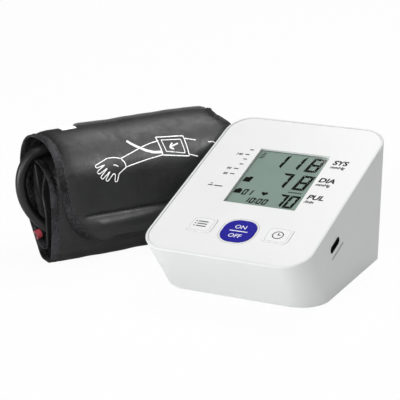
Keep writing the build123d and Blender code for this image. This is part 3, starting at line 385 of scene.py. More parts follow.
def meshPiece(name, shape, material, body, uv=None, smooth=True):
    # a mesh object from points and arrays of faces. A shape that came out inside out is turned.
    points, faces = shape
    if enclosedVolume(points, faces) < 0:
        faces = [face[:, ::-1] for face in faces]
    mesh = bpy.data.meshes.new(name)
    mesh.from_pydata(points.tolist(), [], [row for face in faces for row in face.tolist()])
    mesh.materials.append(materials[material])
    if uv is not None:
        layer = mesh.uv_layers.new(name="lay")
        corners = np.concatenate([face.ravel() for face in faces])
        layer.data.foreach_set("uv", uv[corners].ravel())
    mesh.polygons.foreach_set("use_smooth", np.full(len(mesh.polygons), smooth))
    mesh.update()
    obj = bpy.data.objects.new(name, mesh)
    scene.collection.objects.link(obj)
    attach(obj, body)
    return obj


def ringFaces(rings, size):
    # quads between successive closed rings of the same number of points
    first = np.arange(rings - 1)[:, None] * size + np.arange(size)[None, :]
    following = np.arange(rings - 1)[:, None] * size + np.roll(np.arange(size), -1)[None, :]
    return np.stack([first, following, following + size, first + size], -1).reshape(-1, 4)


def stripFaces(rows, width):
    # a flat tube of rings: each goes along the outer face (width points) and back along the inner
    # (width - 2), and the two end rings are closed across
    size = 2 * width - 2
    quads, tips = [ringFaces(rows, size)], []
    for start in (0, (rows - 1) * size):
        outer = start + np.arange(width)
        inner = start + np.concatenate([[0], np.arange(size - 1, width - 1, -1), [width - 1]])
        cap = np.stack([outer[1:-2], outer[2:-1], inner[2:-1], inner[1:-2]], 1)
        tip = np.array([[outer[0], outer[1], inner[1]], [outer[-2], outer[-1], inner[-2]]])
        quads.append(cap[:, ::-1] if start == 0 else cap)
        tips.append(tip[:, ::-1] if start == 0 else tip)
    return [np.vstack(quads), np.vstack(tips)]


# Cuff: one long padded strip, rolled up. It starts at the flap's end, low on the front, and winds inwards.
cuffWrap = {
    "corners": [(6.9, 12.0), (6.9, 79.0), (-43.3, 79.0), (-43.3, 36.0), (-19.0, 2.2), (1.4, 2.2),
                (1.4, 65.0), (-33.5, 65.0), (-33.5, 36.0), (-17.0, 8.0), (-6.0, 8.0)],
    "radii": [24.5, 24.5, 30.0, 14.0, 5.0, 17.0, 17.0, 18.0, 7.0],
    "step": 1.0,
    # distance in from a side edge, and half the thickness there: bound edge, stitch line, padded body
    "hemReach": [0.0, 0.15, 0.5, 1.1, 2.4, 3.8, 4.6, 5.2, 6.0, 8.0, 12.0, 20.0],
    "hemHalf": [0.0, 0.4, 0.65, 0.8, 0.95, 0.9, 0.7, 0.55, 0.95, 1.6, 2.05, 2.2],
    # arc length from the flap's end, and where the strip's left and right edges are along the roll
    "leftAt": [0.0, 1.2, 3.0, 5.5, 9.0, 14.0, 20.6, 28.5, 39.5, 51.5, 62.0, 72.0, 82.0, 95.0, 130.0, 185.0,
               200.0, 215.0, 250.0, 262.0, 280.0, 600.0],
    "left": [32.0, 27.5, 23.5, 20.2, 16.9, 14.3, 11.8, 9.2, 7.3, 6.3, 6.6, 5.5, 3.5, 1.5, 0.5, 0.6,
             1.4, 2.2, 2.1, 1.2, 0.5, 0.3],
    "rightAt": [0.0, 42.0, 60.0, 65.0, 69.0, 74.0, 80.0, 87.0, 96.0, 110.0, 130.0, 600.0],
    "right": [134.8, 134.6, 134.0, 133.0, 130.6, 128.0, 128.2, 130.8, 132.8, 133.6, 134.8, 134.8],
    # how far each part of the strip leans towards the viewer: the flap and the turn under it bulge out,
    # and the turn's underside is drawn in
    "leanAt": [0.0, 7.0, 20.0, 26.0, 36.0, 42.0, 52.0, 62.0, 72.0, 80.0, 150.0, 162.0, 174.0, 184.0, 192.0,
               198.0, 205.0, 214.0, 233.0, 246.0, 252.0, 258.0, 264.0, 270.0, 276.0, 600.0],
    "lean": [1.0, 3.0, 4.6, 5.0, 4.8, 4.5, 3.6, 2.2, 1.0, 0.0, 0.0, 1.8, 3.4, 3.2, 2.6,
             2.4, 2.6, 4.1, 6.1, 5.6, 5.0, 3.8, 2.0, 0.6, 0.0, 0.0],
    # the bound edges, in from a side edge and up from the flap's end, and how far their ripples stand out
    "tape": 5.0,
    "ripples": (0.2, 0.14),
    # the padded body's waves, and the puckers beside the stitches: how high, how far in and how wide
    "waves": 0.8,
    "pucker": (0.14, 7.6, 2.6),
    # the pouch outside, below the seam across the flap: how high, how far in it starts, how much it leans to
    # the seam and how full it is
    "seam": 19.5,
    "pouch": {"height": 4.4, "inset": 6.0, "lean": 1.55, "fullness": 0.8},
    # the seam's groove and the ridge over it: how high, how far above the seam and how wide
    "groove": (-0.9, 0.0, 1.1),
    "ridge": (0.35, 3.5, 1.8),
    # the hems sink where the middle line is low, until they are this thick, and no cloth goes below the table
    "sinkFrom": 6.0,
    "sinkOver": 3.8,
    "sunkHalf": 1.95,
    "table": 0.05,
    "endRound": 2.5,
    "columns": 44,
    "fill": 0.3,
}


def unit(arrows):
    # each arrow at a length of one
    return arrows / np.linalg.norm(arrows, axis=-1, keepdims=True)


def lineReach(line):
    # how far along a line each of its places is: the sum of the steps before it
    return np.concatenate([[0], np.cumsum(np.linalg.norm(np.diff(line, axis=0), axis=1))])


def resampled(line, at, places):
    # the line's places at other values of the measure that runs along it
    return np.stack([np.interp(places, at, line[:, k]) for k in (0, 1)], 1)


def smoothed(line, times):
    # each place between the ends moves to a quarter of its neighbours and half of itself
    for _ in range(times):
        line[1:-1] = (line[:-2] + 2 * line[1:-1] + line[2:]) / 4
    return line


def filletLine(corners, radii, step):
    # straight runs joined by tangent arcs: an arc starts radius * tan(half the turn) before its corner
    corners = np.array(corners, float)
    made = [corners[:1]]
    for before, here, after, radius in zip(corners, corners[1:], corners[2:], radii):
        first, second = unit(here - before), unit(after - here)
        turn = np.arctan2(first[0] * second[1] - first[1] * second[0], first @ second)
        start = here - first * radius * tan(abs(turn) / 2)
        side = np.sign(turn) * np.array([-first[1], first[0]])
        angle = np.linspace(0, abs(turn), 24)[:, None]
        made.append(start + radius * (np.sin(angle) * first + (1 - np.cos(angle)) * side))
    line = np.vstack(made + [corners[-1:]])
    reach = lineReach(line)
    places = np.linspace(0, reach[-1], int(reach[-1] / step))
    return resampled(line, reach, places), places


def lineOut(line):
    # the outward normal of a line of places: its tangent turned by a quarter
    tangent = unit(np.gradient(line, axis=0))
    return np.stack([tangent[:, 1], -tangent[:, 0]], 1)


wrapLine, wrapReach = filletLine(cuffWrap["corners"], cuffWrap["radii"], cuffWrap["step"])
wrapLine[:, 0] += np.interp(wrapReach, cuffWrap["leanAt"], cuffWrap["lean"])
wrapOut = lineOut(wrapLine)


def clothWaves(reach, along):
    # soft unevenness of padded cloth: a sum of sines with waves of 16 to 145 mm along and across
    return (0.16 * np.sin(along / 9.5 + reach / 23 + 1.1) + 0.14 * np.sin(along / 5.1 - reach / 14 + 0.4)
            + 0.09 * np.sin(along / 2.6 + reach / 6.2) + 0.1 * np.sin(reach / 4.3 - along / 16))


def stripEdges(reach):
    # where the strip's left and right edges are along the roll
    return [np.interp(reach, cuffWrap[side + "At"], cuffWrap[side]) for side in ("left", "right")]


def hemProfile(reach, along):
    # how far in from the nearer side edge a place is, and half the thickness that the hem gives it
    left, right = stripEdges(reach)
    inwards = np.minimum(along - left, right - along)
    return inwards, np.interp(inwards, cuffWrap["hemReach"], cuffWrap["hemHalf"])


def bell(distance, height, middle, width):
    # height * e to the power of minus the square of (distance - middle) / width
    return height * np.exp(-((distance - middle) / width) ** 2)


def wrapHalf(reach, along, outside):
    # half the thickness: the hem's profile, the body's waves, puckers beside the stitches and ripples in the
    # tape, and outside, the pouch, half a sine wave of (the share of the way up to the seam) ** its lean
    inwards, half = hemProfile(reach, along)
    tapeWidth, seam = cuffWrap["tape"], cuffWrap["seam"]
    body = np.clip((inwards - tapeWidth) / 10, 0, 1)  # full 10 mm in from the tape
    half = half + body * cuffWrap["waves"] * clothWaves(reach, along)
    pucker = bell(inwards, *cuffWrap["pucker"]) * (inwards > tapeWidth)  # one in 4.7 mm
    half = half + pucker * np.sin(reach * 1.35 + 0.6 * np.sin(reach / 3.0))
    tape = np.clip(inwards / 1.2, 0, 1) * np.clip(tapeWidth + 0.2 - inwards, 0, 1)
    steep, shallow = cuffWrap["ripples"]
    half = half + tape * (steep * np.sin(reach * 1.7 + inwards * 1.1 + 1.8 * np.sin(reach / 7.3))
                          + shallow * np.sin(reach * 0.83 - inwards * 0.9))
    if outside:
        pouch = cuffWrap["pouch"]
        inner = np.clip((inwards - pouch["inset"]) / pouch["inset"], 0, 1)
        climb = np.clip((reach - 0.5) / (seam - 1.1), 0, 1) ** pouch["lean"]
        half = half + pouch["height"] * inner * np.clip(np.sin(pi * climb), 0, 1) ** pouch["fullness"]
        half = half + inner * sum(bell(reach - seam, *cuffWrap[name]) for name in ("groove", "ridge"))
    ends = np.clip(np.minimum(reach, wrapReach[-1] - reach) / cuffWrap["endRound"], 0, 1)
    return half * np.sqrt(np.clip(1 - (1 - ends) ** 2, 0.02, 1))


def hemDrop(reach, along):
    # how far the thin hems sink to the table where the strip lies on it: nearness of the strip's middle
    # line to the table * (how thick a sunk hem is - how thick it was)
    nearness = (cuffWrap["sinkFrom"] - np.interp(reach, wrapReach, wrapLine[:, 1])) / cuffWrap["sinkOver"]
    return np.clip(nearness, 0, 1) * np.clip(cuffWrap["sunkHalf"] - hemProfile(reach, along)[1], 0, None)


def onWrap(reach, along, lift):
    # a place on the strip's outer face: line + outward normal * (half thickness + lift)
    reach, along = np.broadcast_arrays(np.asarray(reach, float), np.asarray(along, float))
    aside, height, outX, outZ = (np.interp(reach, wrapReach, v) for v in (*wrapLine.T, *wrapOut.T))
    raised = wrapHalf(reach, along, True) + lift
    return inRoll(along, aside + outX * raised, height + outZ * raised - hemDrop(reach, along))


def clothUv(lines, reach):
    # the weave lies flat on the cloth: metres along the roll and metres along the strip
    return np.stack([lines * mm, np.broadcast_to(reach, lines.shape) * mm], -1).reshape(-1, 2)


def makeWrap():
    reach = wrapReach[:, None]
    left, right = stripEdges(reach)
    hem = np.array(cuffWrap["hemReach"])
    middle = left + hem[-1] + (right - left - 2 * hem[-1]) * np.linspace(0, 1, cuffWrap["columns"])[1:-1]
    along = np.hstack([left + hem, middle, right - hem[::-1]])
    back = along[:, -2:0:-1]
    lines = np.hstack([along, back])
    offsets = np.hstack([wrapHalf(reach, along, True), -wrapHalf(reach, back, False)])
    heights = wrapLine[:, 1:] + wrapOut[:, 1:] * offsets - hemDrop(reach, lines)
    heights = np.maximum(heights, cuffWrap["table"])
    points = inRoll(lines, wrapLine[:, :1] + wrapOut[:, :1] * offsets, heights)
    width, size = along.shape[1], lines.shape[1]
    shape = (points.reshape(-1, 3), stripFaces(len(reach), width))
    wrap = meshPiece("cuffWrap", shape, "cuffNylon", "cuff", clothUv(lines, reach))
    wrap.data.materials.append(materials["bindingTape"])
    taped = int(np.searchsorted(hem, cuffWrap["tape"]))
    column = np.arange(size)  # of faces: out along the outer face, back along the inner
    bound = (column < taped) | (column >= size - taped) | (abs(column - (width - 1.5)) < taped)
    bound = bound[None, :] | (reach[:-1] < cuffWrap["tape"])
    marks = np.zeros(len(wrap.data.polygons), dtype=np.int32)
    marks[:bound.size] = bound.ravel()
    wrap.data.polygons.foreach_set("material_index", marks)
    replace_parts(wrap, "cuff_outer_cloth", "cuff_inner_cloth", "cuff_hems", "cuff_bladder", "cuff_padding",
                "cuff_bar", "cuff_hook_patch")


makeWrap()
print("cuff wrapped")

# Stitches: short threads along the bound edges and along the fold's seam
stitches = {
    "length": 2.0,
    "pitch": 3.1,
    "radius": 0.2,
    "lift": 0.12,
    # along a thread: share of its length, share of its radius, and rise in radii
    "profile": [(0, 0.25, -0.5), (0.15, 0.9, 0), (0.5, 1, 0.35), (0.85, 0.9, 0), (1, 0.25, -0.5)],
    # side edge, how far in from it, and the reach of the first and the last stitch
    "rows": [("left", 5.0, 6.0, 120.0), ("right", -5.0, 6.0, 150.0), ("left", 5.0, 190.0, 262.0)],
    "seamRow": (18.5, 129.0),
}


def stitchRow(reach, along):
    # threads between pairs of places on the strip's outer face, each a row of hexagons about the thread
    thread, lift = stitches["radius"] * mm, stitches["lift"]
    start, stop = (onWrap(reach[k:len(reach) - 1 + k], along[k:len(along) - 1 + k], lift) for k in (0, 1))
    stop = start + (stop - start) * stitches["length"] / stitches["pitch"]
    direction = unit(stop - start)
    above = onWrap((reach[:-1] + reach[1:]) / 2, (along[:-1] + along[1:]) / 2, 1.0)
    sideways = unit(np.cross(direction, above - (start + stop) / 2))
    outwards = np.cross(sideways, direction)
    turns = (np.arange(6) * pi / 3)[None, :, None]
    about = np.cos(turns) * sideways[:, None] + np.sin(turns) * outwards[:, None]
    rings = []
    for share, swell, rise in stitches["profile"]:
        centre = start + (stop - start) * share + outwards * rise * thread
        rings.append(centre[:, None] + thread * swell * about)
    points = np.stack(rings, 1)
    shift = 6 * len(rings) * np.arange(len(points))[:, None, None]
    caps = np.array([-np.arange(6) % 6, np.arange(6) + 6 * (len(rings) - 1)])
    return points.reshape(-1, 3), [(ringFaces(len(rings), 6)[None] + shift).reshape(-1, 4),
                                   (caps[None] + shift).reshape(-1, 6)]


def makeStitches():
    rows = []
    for side, inset, first, last in stitches["rows"]:
        reach = np.arange(first, last, stitches["pitch"])
        rows.append(stitchRow(reach, np.interp(reach, cuffWrap[side + "At"], cuffWrap[side]) + inset))
    along = np.arange(*stitches["seamRow"], stitches["pitch"])
    rows.append(stitchRow(np.full(len(along), cuffWrap["seam"]), along))
    meshPiece("cuffStitches", joined(rows), "stitchThread", "cuff")


makeStitches()

# Print on the flap: a plain how-to picture in lines, a bare arm in a cuff with its hose. Places are along
# the roll and up from the flap's end, and each line has its width.
cuffPrint = {
    "lift": 0.06,
    "thickness": 0.1,
    "smoothing": 3,
    "lines": [
        (0.55, [(49.5, 52.2), (45.0, 53.4), (40.5, 53.6), (37.2, 52.4), (31.35, 50.6), (32.1, 49.0),
                (38.3, 50.3), (31.95, 46.95), (32.9, 45.4), (39.6, 48.2), (33.95, 43.7), (35.0, 42.1),
                (41.0, 46.2), (37.2, 41.5), (38.6, 40.3), (42.8, 44.6), (44.2, 44.2), (43.4, 39.4),
                (45.1, 39.2), (46.6, 44.0), (50.2, 46.0), (52.0, 47.1)]),
        (0.65, [(49.5, 52.2), (51.5, 50.0), (52.0, 47.1)]), (0.6, [(43.8, 49.3), (45.6, 49.2), (46.8, 48.0)]),
        (0.6, [(49.5, 52.2), (58, 54.6), (66, 57.0), (72, 58.4), (78, 59.0)]),
        (0.6, [(52.0, 47.1), (60, 48.4), (68, 49.5), (78.4, 50.6)]),
        (0.65, [(77, 61.5), (95.5, 59.5), (96.5, 47.5), (78.5, 50.4), (77, 61.5)]),
        (0.5, [(80, 59.2), (93, 57.7), (93.9, 49.6), (81.2, 52.2), (80, 59.2)]),
        (0.9, [(90.4, 55.6), (84.2, 54.2)]), (0.9, [(86.7, 56.4), (84.0, 54.1), (86.9, 52.8)]),
        (1.5, [(57, 62), (59.0, 59.8), (62.5, 57.4), (67.5, 54.6), (72.5, 52.8), (78.2, 52.2)]),
        (0.6, [(95.7, 57.9), (103.5, 56.0)]), (0.6, [(96.4, 48.6), (102.5, 46.5)]),
        (0.6, [(111.5, 53.8), (115.4, 53.4), (117.2, 51.2), (116.3, 48.6), (113.2, 47.5)]),
        (0.6, [(115.0, 49.6), (113.0, 47.4), (115.4, 46.4)]),
    ],
}


def printRibbon(places, width):
    # a flat ribbon along a smooth line: half the width to each side of it, and one thickness above
    places = np.array(places, float)
    reach = lineReach(places)
    count = max(3, int(2 * reach[-1]))
    closed = (places[0] == places[-1]).all()
    line = resampled(places, reach, np.linspace(0, reach[-1], count))
    line = smoothed(line, 0 if closed else cuffPrint["smoothing"])
    side = lineOut(line) * width / 2
    corners = []
    for sign, lift in ((-1, 0.0), (1, 0.0), (1, 1.0), (-1, 1.0)):
        spot = line + sign * side
        corners.append(onWrap(spot[:, 1], spot[:, 0], cuffPrint["lift"] + lift * cuffPrint["thickness"]))
    last = (count - 1) * 4
    ends = np.array([[3, 2, 1, 0], [last, last + 1, last + 2, last + 3]])
    return np.stack(corners, 1).reshape(-1, 3), [ringFaces(count, 4), ends]


def makePrint():
    ribbons = [printRibbon(line, width) for width, line in cuffPrint["lines"]]
    meshPiece("cuffPrint", joined(ribbons), "whiteInk", "cuff")


makePrint()
print("stitches and print added")

# Hook flap at the cuff's inner end: two thin leaves that part above their joint and show in the open end
cuffTail = {
    "leaves": [
        [(-6.0, 8.0), (-2.2, 10.0), (-1.9, 20.0), (-2.0, 32.0), (-4.2, 39.5), (-9.6, 42.2), (-13.6, 46.2),
         (-16.6, 51.5), (-18.8, 57.0), (-20.0, 61.0)],
        [(-2.2, 36.0), (-4.4, 40.0), (-6.0, 44.5), (-5.2, 49.5), (-3.4, 54.0), (-2.4, 59.0)],
    ],
    "smoothing": 6,
    # the leaves' left edge along the roll, how far their tips draw back from it, and how soon they thin out
    "from": 1.2,
    "drawn": 1.5,
    "endRound": 0.8,
    # distance in from that edge, and half the thickness there
    "hemReach": [0.0, 0.2, 0.6, 1.2, 3.0, 5.0, 10.0, 18.0, 28.0, 36.0, 39.0, 40.5, 41.0, 41.3],
    "hemHalf": [0.0, 0.3, 0.5, 0.55, 0.5, 0.35, 0.5, 0.55, 0.55, 0.55, 0.5, 0.4, 0.2, 0.0],
}


def makeTail():
    leaves, uvs, length = [], [], 0.0
    inwards, half = np.array(cuffTail["hemReach"]), np.array(cuffTail["hemHalf"])
    for places in cuffTail["leaves"]:
        places = np.array(places)
        fine = np.linspace(0, len(places) - 1, 8 * len(places))
        line = smoothed(resampled(places, np.arange(len(places)), fine), cuffTail["smoothing"])
        out, reach = lineOut(line), lineReach(line)
        along = (cuffTail["from"] + cuffTail["drawn"] * (reach / reach[-1]) ** 3)[:, None] + inwards
        ends = np.clip(np.minimum(reach, reach[-1] - reach) / cuffTail["endRound"], 0.05, 1)
        ends = np.sqrt(ends)[:, None]
        lines = np.hstack([along, along[:, -2:0:-1]])
        offsets = np.hstack([half * ends, -half[-2:0:-1] * ends])
        points = inRoll(lines, line[:, :1] + out[:, :1] * offsets, line[:, 1:] + out[:, 1:] * offsets)
        leaves.append((points.reshape(-1, 3), stripFaces(len(line), along.shape[1])))
        uvs.append(clothUv(lines, reach[:, None]))
        length += reach[-1]
    tail = meshPiece("cuffTail", joined(leaves), "cuffNylon", "cuff", np.vstack(uvs))
    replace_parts(tail, "cuff_tail")


makeTail()
print("tail folded in")

# Patches on the roll's rounded top: loop pile for the flap's hooks, and a small woven label left bare.
# Each has its ends along the roll, its first and last reach along the strip and its thickness.
patches = {
    "loopPatch": {"along": (34.0, 127.0), "reach": (86.5, 107.5), "thickness": 1.5,
                  "node": "cuff_loop_patch", "material": "loopPile", "slot": "pile"},
    "wovenLabel": {"along": (21.6, 31.4), "reach": (80.5, 92.5), "thickness": 0.5,
                   "node": "size_label", "material": "wovenLabel", "slot": "label"},
}
patchForm = {"rim": 0.9, "lift": 0.05, "sunk": 0.3, "grid": (90, 30)}


def makePatch(name, patch):
    # a low cushion on the strip's outer face: its rim rises as a quarter circle, and its back is in the cloth
    across, up = patchForm["grid"]
    along = np.linspace(*patch["along"], across)[None, :]
    reach = np.linspace(*patch["reach"], up)[:, None]
    fromEdge = np.minimum(np.minimum(along - along[0, 0], along[0, -1] - along),
                          np.minimum(reach - reach[0, 0], reach[-1, 0] - reach))
    rise = np.clip(fromEdge / patchForm["rim"], 0, 1)
    top = onWrap(reach, along, patchForm["lift"] + patch["thickness"] * np.sqrt(1 - (1 - rise) ** 2))
    low = onWrap(reach, along, np.full(rise.shape, -patchForm["sunk"]))
    index = np.arange(rise.size).reshape(rise.shape)
    quads = np.stack([index[:-1, :-1], index[:-1, 1:], index[1:, 1:], index[1:, :-1]], -1).reshape(-1, 4)
    rim = np.concatenate([index[0, :-1], index[:-1, -1], index[-1, :0:-1], index[:0:-1, 0]])
    after = np.roll(rim, -1)
    wall = np.stack([after, rim, rim + rise.size, after + rise.size], 1)
    shape = (np.vstack([top.reshape(-1, 3), low.reshape(-1, 3)]), [quads, quads[:, ::-1] + rise.size, wall])
    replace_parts(meshPiece(name, shape, patch["material"], "cuff"), patch["node"])


for patchName, patch in patches.items():
    makePatch(patchName, patch)
print("pile and label laid")


def block(first, second):
    # two rings of places joined, with a flat cap on each
    ring = np.arange(len(first))
    return np.vstack([first, second]), [ringFaces(2, len(ring)), ring[None, ::-1], ring[None] + len(ring)]


def tube(rings):
    # four rings of places, each joined to the next and the last to the first
    ring = np.arange(len(rings[0]))
    after, last = np.roll(ring, -1), 3 * len(ring)
    return np.vstack(rings), [ringFaces(4, len(ring)), np.stack([ring + last, after + last, after, ring], 1)]


def prism(outline, deep, near):
    # an outline of places on the face, turned anticlockwise and carried from one depth to another
    x, t = np.array(outline, float).T
    if x @ np.roll(t, -1) < np.roll(x, -1) @ t:
        x, t = x[::-1], t[::-1]
    return block(onFace(x, t, deep), onFace(x, t, near))


def rounded(width, length, corner, count):
    # a rounded rectangle about its middle: the quarters of a circle moved apart to the corners
    turn = np.linspace(0, 2 * pi, count, endpoint=False)
    return (corner * np.cos(turn) + np.sign(np.cos(turn)) * (width / 2 - corner),
            corner * np.sin(turn) + np.sign(np.sin(turn)) * (length / 2 - corner))


def frameRing(x, t, width, length, corner, line, deep, near):
    # a line round a rounded rectangle, half of it to each side of the rectangle's edge
    rings = []
    for more, depth in ((line, deep), (line, near), (-line, near), (-line, deep)):
        across, above = rounded(width + more, length + more, corner + more / 2, 96)
        rings.append(onFace(x + across, t + above, depth))
    return tube(rings)


def bar(x, t, width, height, lean=0.0):
    # corners of an upright bar that leans to the right
    shift = height * tan(radians(lean))
    return [(x, t), (x + width, t), (x + width + shift, t + height), (x + shift, t + height)]


# Display: a film under the clear window, with dark segment digits that lean to the right
display = {
    "left": -20.65,
    "right": 26.15,
    "low": 53.15,
    "high": 110.25,
    "corner": 1.8,
    # the thin shade along the film's left and upper edges
    "edges": [(-20.6, 53.2, 0.3, 57.0), (-20.3, 109.9, 45.0, 0.3)],
    "filmDepth": 1.74,
    "filmThickness": 0.05,
    "digitDepth": 1.62,
    "lean": 8.0,
    # digit, right side and foot of its cell, its width, height and stroke
    "digits": [("1", 10.2, 93.8, 7.8, 14.6, 1.9), ("1", -1.0, 93.8, 7.8, 14.6, 1.9),
               ("8", 22.9, 93.4, 8.2, 14.8, 2.0), ("7", 9.2, 74.2, 7.6, 15.4, 2.0),
               ("8", 22.6, 74.2, 8.0, 15.4, 2.0), ("7", 15.1, 55.8, 6.0, 12.6, 1.7),
               ("0", 22.4, 55.8, 6.2, 12.6, 1.7), ("0", -11.3, 63.2, 2.9, 5.8, 0.85),
               ("1", -8.0, 63.2, 2.9, 5.8, 0.85), ("1", -7.0, 56.2, 2.6, 5.3, 0.8),
               ("0", -3.3, 56.2, 2.8, 5.3, 0.8), ("0", 1.3, 56.2, 2.8, 5.3, 0.8),
               ("0", 5.0, 56.2, 2.8, 5.3, 0.8)],
    # segments lit for each digit: a to f clockwise from the top, and g across the middle
    "strokes": {"0": "abcdef", "1": "bc", "7": "abc", "8": "abcdefg"},
    # middle, and scales of width and height
    "heart": (0.4, 66.8, 2.1, 0.13),
    # left end, foot, width and height of the plain marks
    "marks": [(-19.1, 76.4, 4.8, 4.6), (-16.0, 81.0, 2.2, 0.8), (-19.9, 64.2, 4.6, 3.7),
              (-18.2, 67.9, 2.4, 1.1), (-2.5, 59.4, 0.8, 0.8), (-2.7, 57.2, 0.8, 0.8),
              (-19.2, 102.0, 2.8, 0.6), (-18.9, 103.7, 2.8, 0.6), (-18.6, 105.4, 2.4, 0.6),
              (-18.2, 107.1, 2.0, 0.6)] + [(14.2 + 1.5 * k, 70.9, 1.0, 0.9) for k in range(6)],
}


def digitOutlines(digit, right, foot, width, height, stroke):
    # seven segments, mitred where they meet and a tenth of a stroke apart, given right and above of the
    # cell's middle. Each is mirrored to its side and moved right by its height above the foot times the lean
    half, gap = stroke / 2, stroke * 0.1
    across, rise, inner = width / 2, height / 2, width / 2 - gap - stroke
    flat = [(gap - across, rise), (across - gap, rise), (inner, rise - stroke), (-inner, rise - stroke)]
    bridge = [(gap + half - across, 0), (-inner, half), (inner, half), (across - gap - half, 0),
              (inner, -half), (-inner, -half)]
    upright = [(across, rise - gap), (across, gap / 2), (across - half, gap / 2),
               (across - stroke, half + gap / 2), (across - stroke, rise - stroke - gap)]
    shapes = {"a": (flat, 1, 1), "d": (flat, 1, -1), "g": (bridge, 1, 1), "b": (upright, 1, 1),
              "c": (upright, 1, -1), "e": (upright, -1, -1), "f": (upright, -1, 1)}
    made = []
    for name in display["strokes"][digit]:
        outline, side, above = shapes[name]
        places = [(right - across + side * x, rise + above * t) for x, t in outline]
        made.append([(x + t * tan(radians(display["lean"])), foot + t) for x, t in places])
    return made


def heartOutline():
    # width * the cube of the turn's sine, and height * (13 cos - 5 cos of twice - 2 cos of thrice - cos of
    # four times the turn)
    x, t, width, height = display["heart"]
    turn = np.linspace(0, 2 * pi, 28, endpoint=False)
    rise = 13 * np.cos(turn) - 5 * np.cos(2 * turn) - 2 * np.cos(3 * turn) - np.cos(4 * turn)
    return np.stack([x + width * np.sin(turn) ** 3, t + height * rise], 1)


def makeDisplay():
    deep, near, lean, corner = (display[name] for name in ("filmDepth", "digitDepth", "lean", "corner"))
    sheet = [(display["left"], display["high"]), (display["left"], display["low"])]
    for middle, first in ((display["low"] + corner, -pi / 2), (display["high"] - corner, 0)):
        turn = np.linspace(first, first + pi / 2, 8)
        sheet += list(zip(display["right"] - corner + corner * np.cos(turn), middle + corner * np.sin(turn)))
    film = prism(sheet, deep + display["filmThickness"], deep)
    meshPiece("displayFilm", film, "displayFilm", "monitor", smooth=False)
    outlines = [outline for digit in display["digits"] for outline in digitOutlines(*digit)]
    outlines += [bar(*mark, lean) for mark in display["marks"]] + [bar(*edge) for edge in display["edges"]]
    digits = joined([prism(outline, deep, near) for outline in outlines + [heartOutline()]])
    meshPiece("displayDigits", digits, "displayDark", "monitor", smooth=False)


makeDisplay()
print("display drawn")

# Print on the face and on the keys, and pale grey painted shade in the groove round the start key and in the
# gaps at the side keys' edges: each layer lies at a depth, on a body. A word has its text, size, left end,
# foot and lean, a bar its left end, foot, width, height and lean, and a ring its middle, width, length,
# corner and line.
sign = {"depth": 0.15, "inkAndShade": "greyInk", "slot": "side_keys"}  # what the side keys' layers share
facePrintAndShade = {
    "thickness": 0.04,
    "weight": 0.035,
    "layers": {
        "faceLabels": {
            "depth": 0.4, "inkAndShade": "greyInk", "body": "monitor", "slot": "face_panel",
            "words": [("SYS", 6.2, 30.4, 102.4, 10), ("mmHg", 3.4, 30.4, 98.6, 10),
                      ("DIA", 6.2, 28.6, 83.4, 10), ("mmHg", 3.4, 28.4, 79.6, 10),
                      ("PUL", 6.2, 28.4, 65.6, 10), ("/min", 3.4, 28.4, 61.8, 10),
                      ("140", 2.9, -34.6, 100.9, 10), ("90", 2.9, -34.0, 85.1, 10),
                      ("85", 2.9, -33.8, 79.4, 10)],
            "bars": [(-27.5, 107.1, 2.5, 0.9, 10), (-28.4, 101.7, 2.7, 0.9, 10), (-27.7, 96.7, 2.5, 0.9, 10),
                     (-27.7, 91.2, 2.4, 0.9, 10), (-29.2, 86.0, 2.9, 0.9, 10), (-29.2, 80.3, 2.9, 0.9, 10),
                     (-38.0, 66.5, 3.2, 0.9, 10), (-33.8, 66.5, 5.6, 0.9, 10), (-37.0, 68.4, 1.4, 0.8, 10)]},
        # a pale grey ring round the start key: painted shade of the groove there
        "startRing": {"depth": 0.4, "inkAndShade": "paintedGapShade", "body": "monitor", "slot": "face_panel",
                      "rings": [(1.6, 26.8, 23.6, 23.1, 9.6, 0.35)]},
        "startSign": {"depth": 0.15, "inkAndShade": "keyInk", "body": "start_button", "slot": "start_key",
                      "weight": 0.005, "bars": [(-4.2, 26.3, 11.6, 0.7, 4)],
                      "words": [("ON", 4.8, -2.4, 29.0, 4), ("OFF", 4.8, -3.2, 20.6, 4)]},
        "memorySign": {**sign, "body": "memory_button",
                       "bars": [(x, t, width, 0.8) for x, width in ((-26.4, 6.4), (-28.2, 0.9))
                                for t in (30.4, 28.2, 26.0)]},
        "setSign": {**sign, "body": "set_button", "bars": [(26.1, 28.0, 0.6, 2.3), (26.1, 28.0, 2.0, 0.6)],
                    "rings": [(26.4, 28.2, 6.4, 6.4, 3.2, 0.6)]},
        # pale grey lines round the side keys' edges: painted shade of the gaps round them
        "memoryRing": {**sign, "inkAndShade": "paintedGapShade", "body": "memory_button",
                       "rings": [(-23.2, 28.2, 13.4, 11.8, 2.2, 0.25)]},
        "setRing": {**sign, "inkAndShade": "paintedGapShade", "body": "set_button",
                    "rings": [(26.4, 28.2, 13.4, 11.8, 2.2, 0.25)]},
    },
}


def letters(words, depth, weight):
    # text laid on the face: its x goes across, its y up the slope, and the lean moves it right with height
    shapes = []
    for text, size, x, t, lean in words:
        line = bpy.data.curves.new("letters", "FONT")
        line.body = text
        line.size = size
        line.resolution_u = 3
        line.offset = size * weight
        line.extrude = facePrintAndShade["thickness"] / 2
        obj = bpy.data.objects.new("letters", line)
        scene.collection.objects.link(obj)
        made = bpy.data.meshes.new_from_object(obj.evaluated_get(bpy.context.evaluated_depsgraph_get()))
        spots = np.empty(len(made.vertices) * 3)
        made.vertices.foreach_get("co", spots)
        spots = spots.reshape(-1, 3)
        across = x + spots[:, 0] + spots[:, 1] * tan(radians(lean))
        points = onFace(across, t + spots[:, 1], depth - facePrintAndShade["thickness"] / 2 - spots[:, 2])
        shapes.append((points, [np.array([list(face.vertices)]) for face in made.polygons]))
        bpy.data.objects.remove(obj)
    return shapes


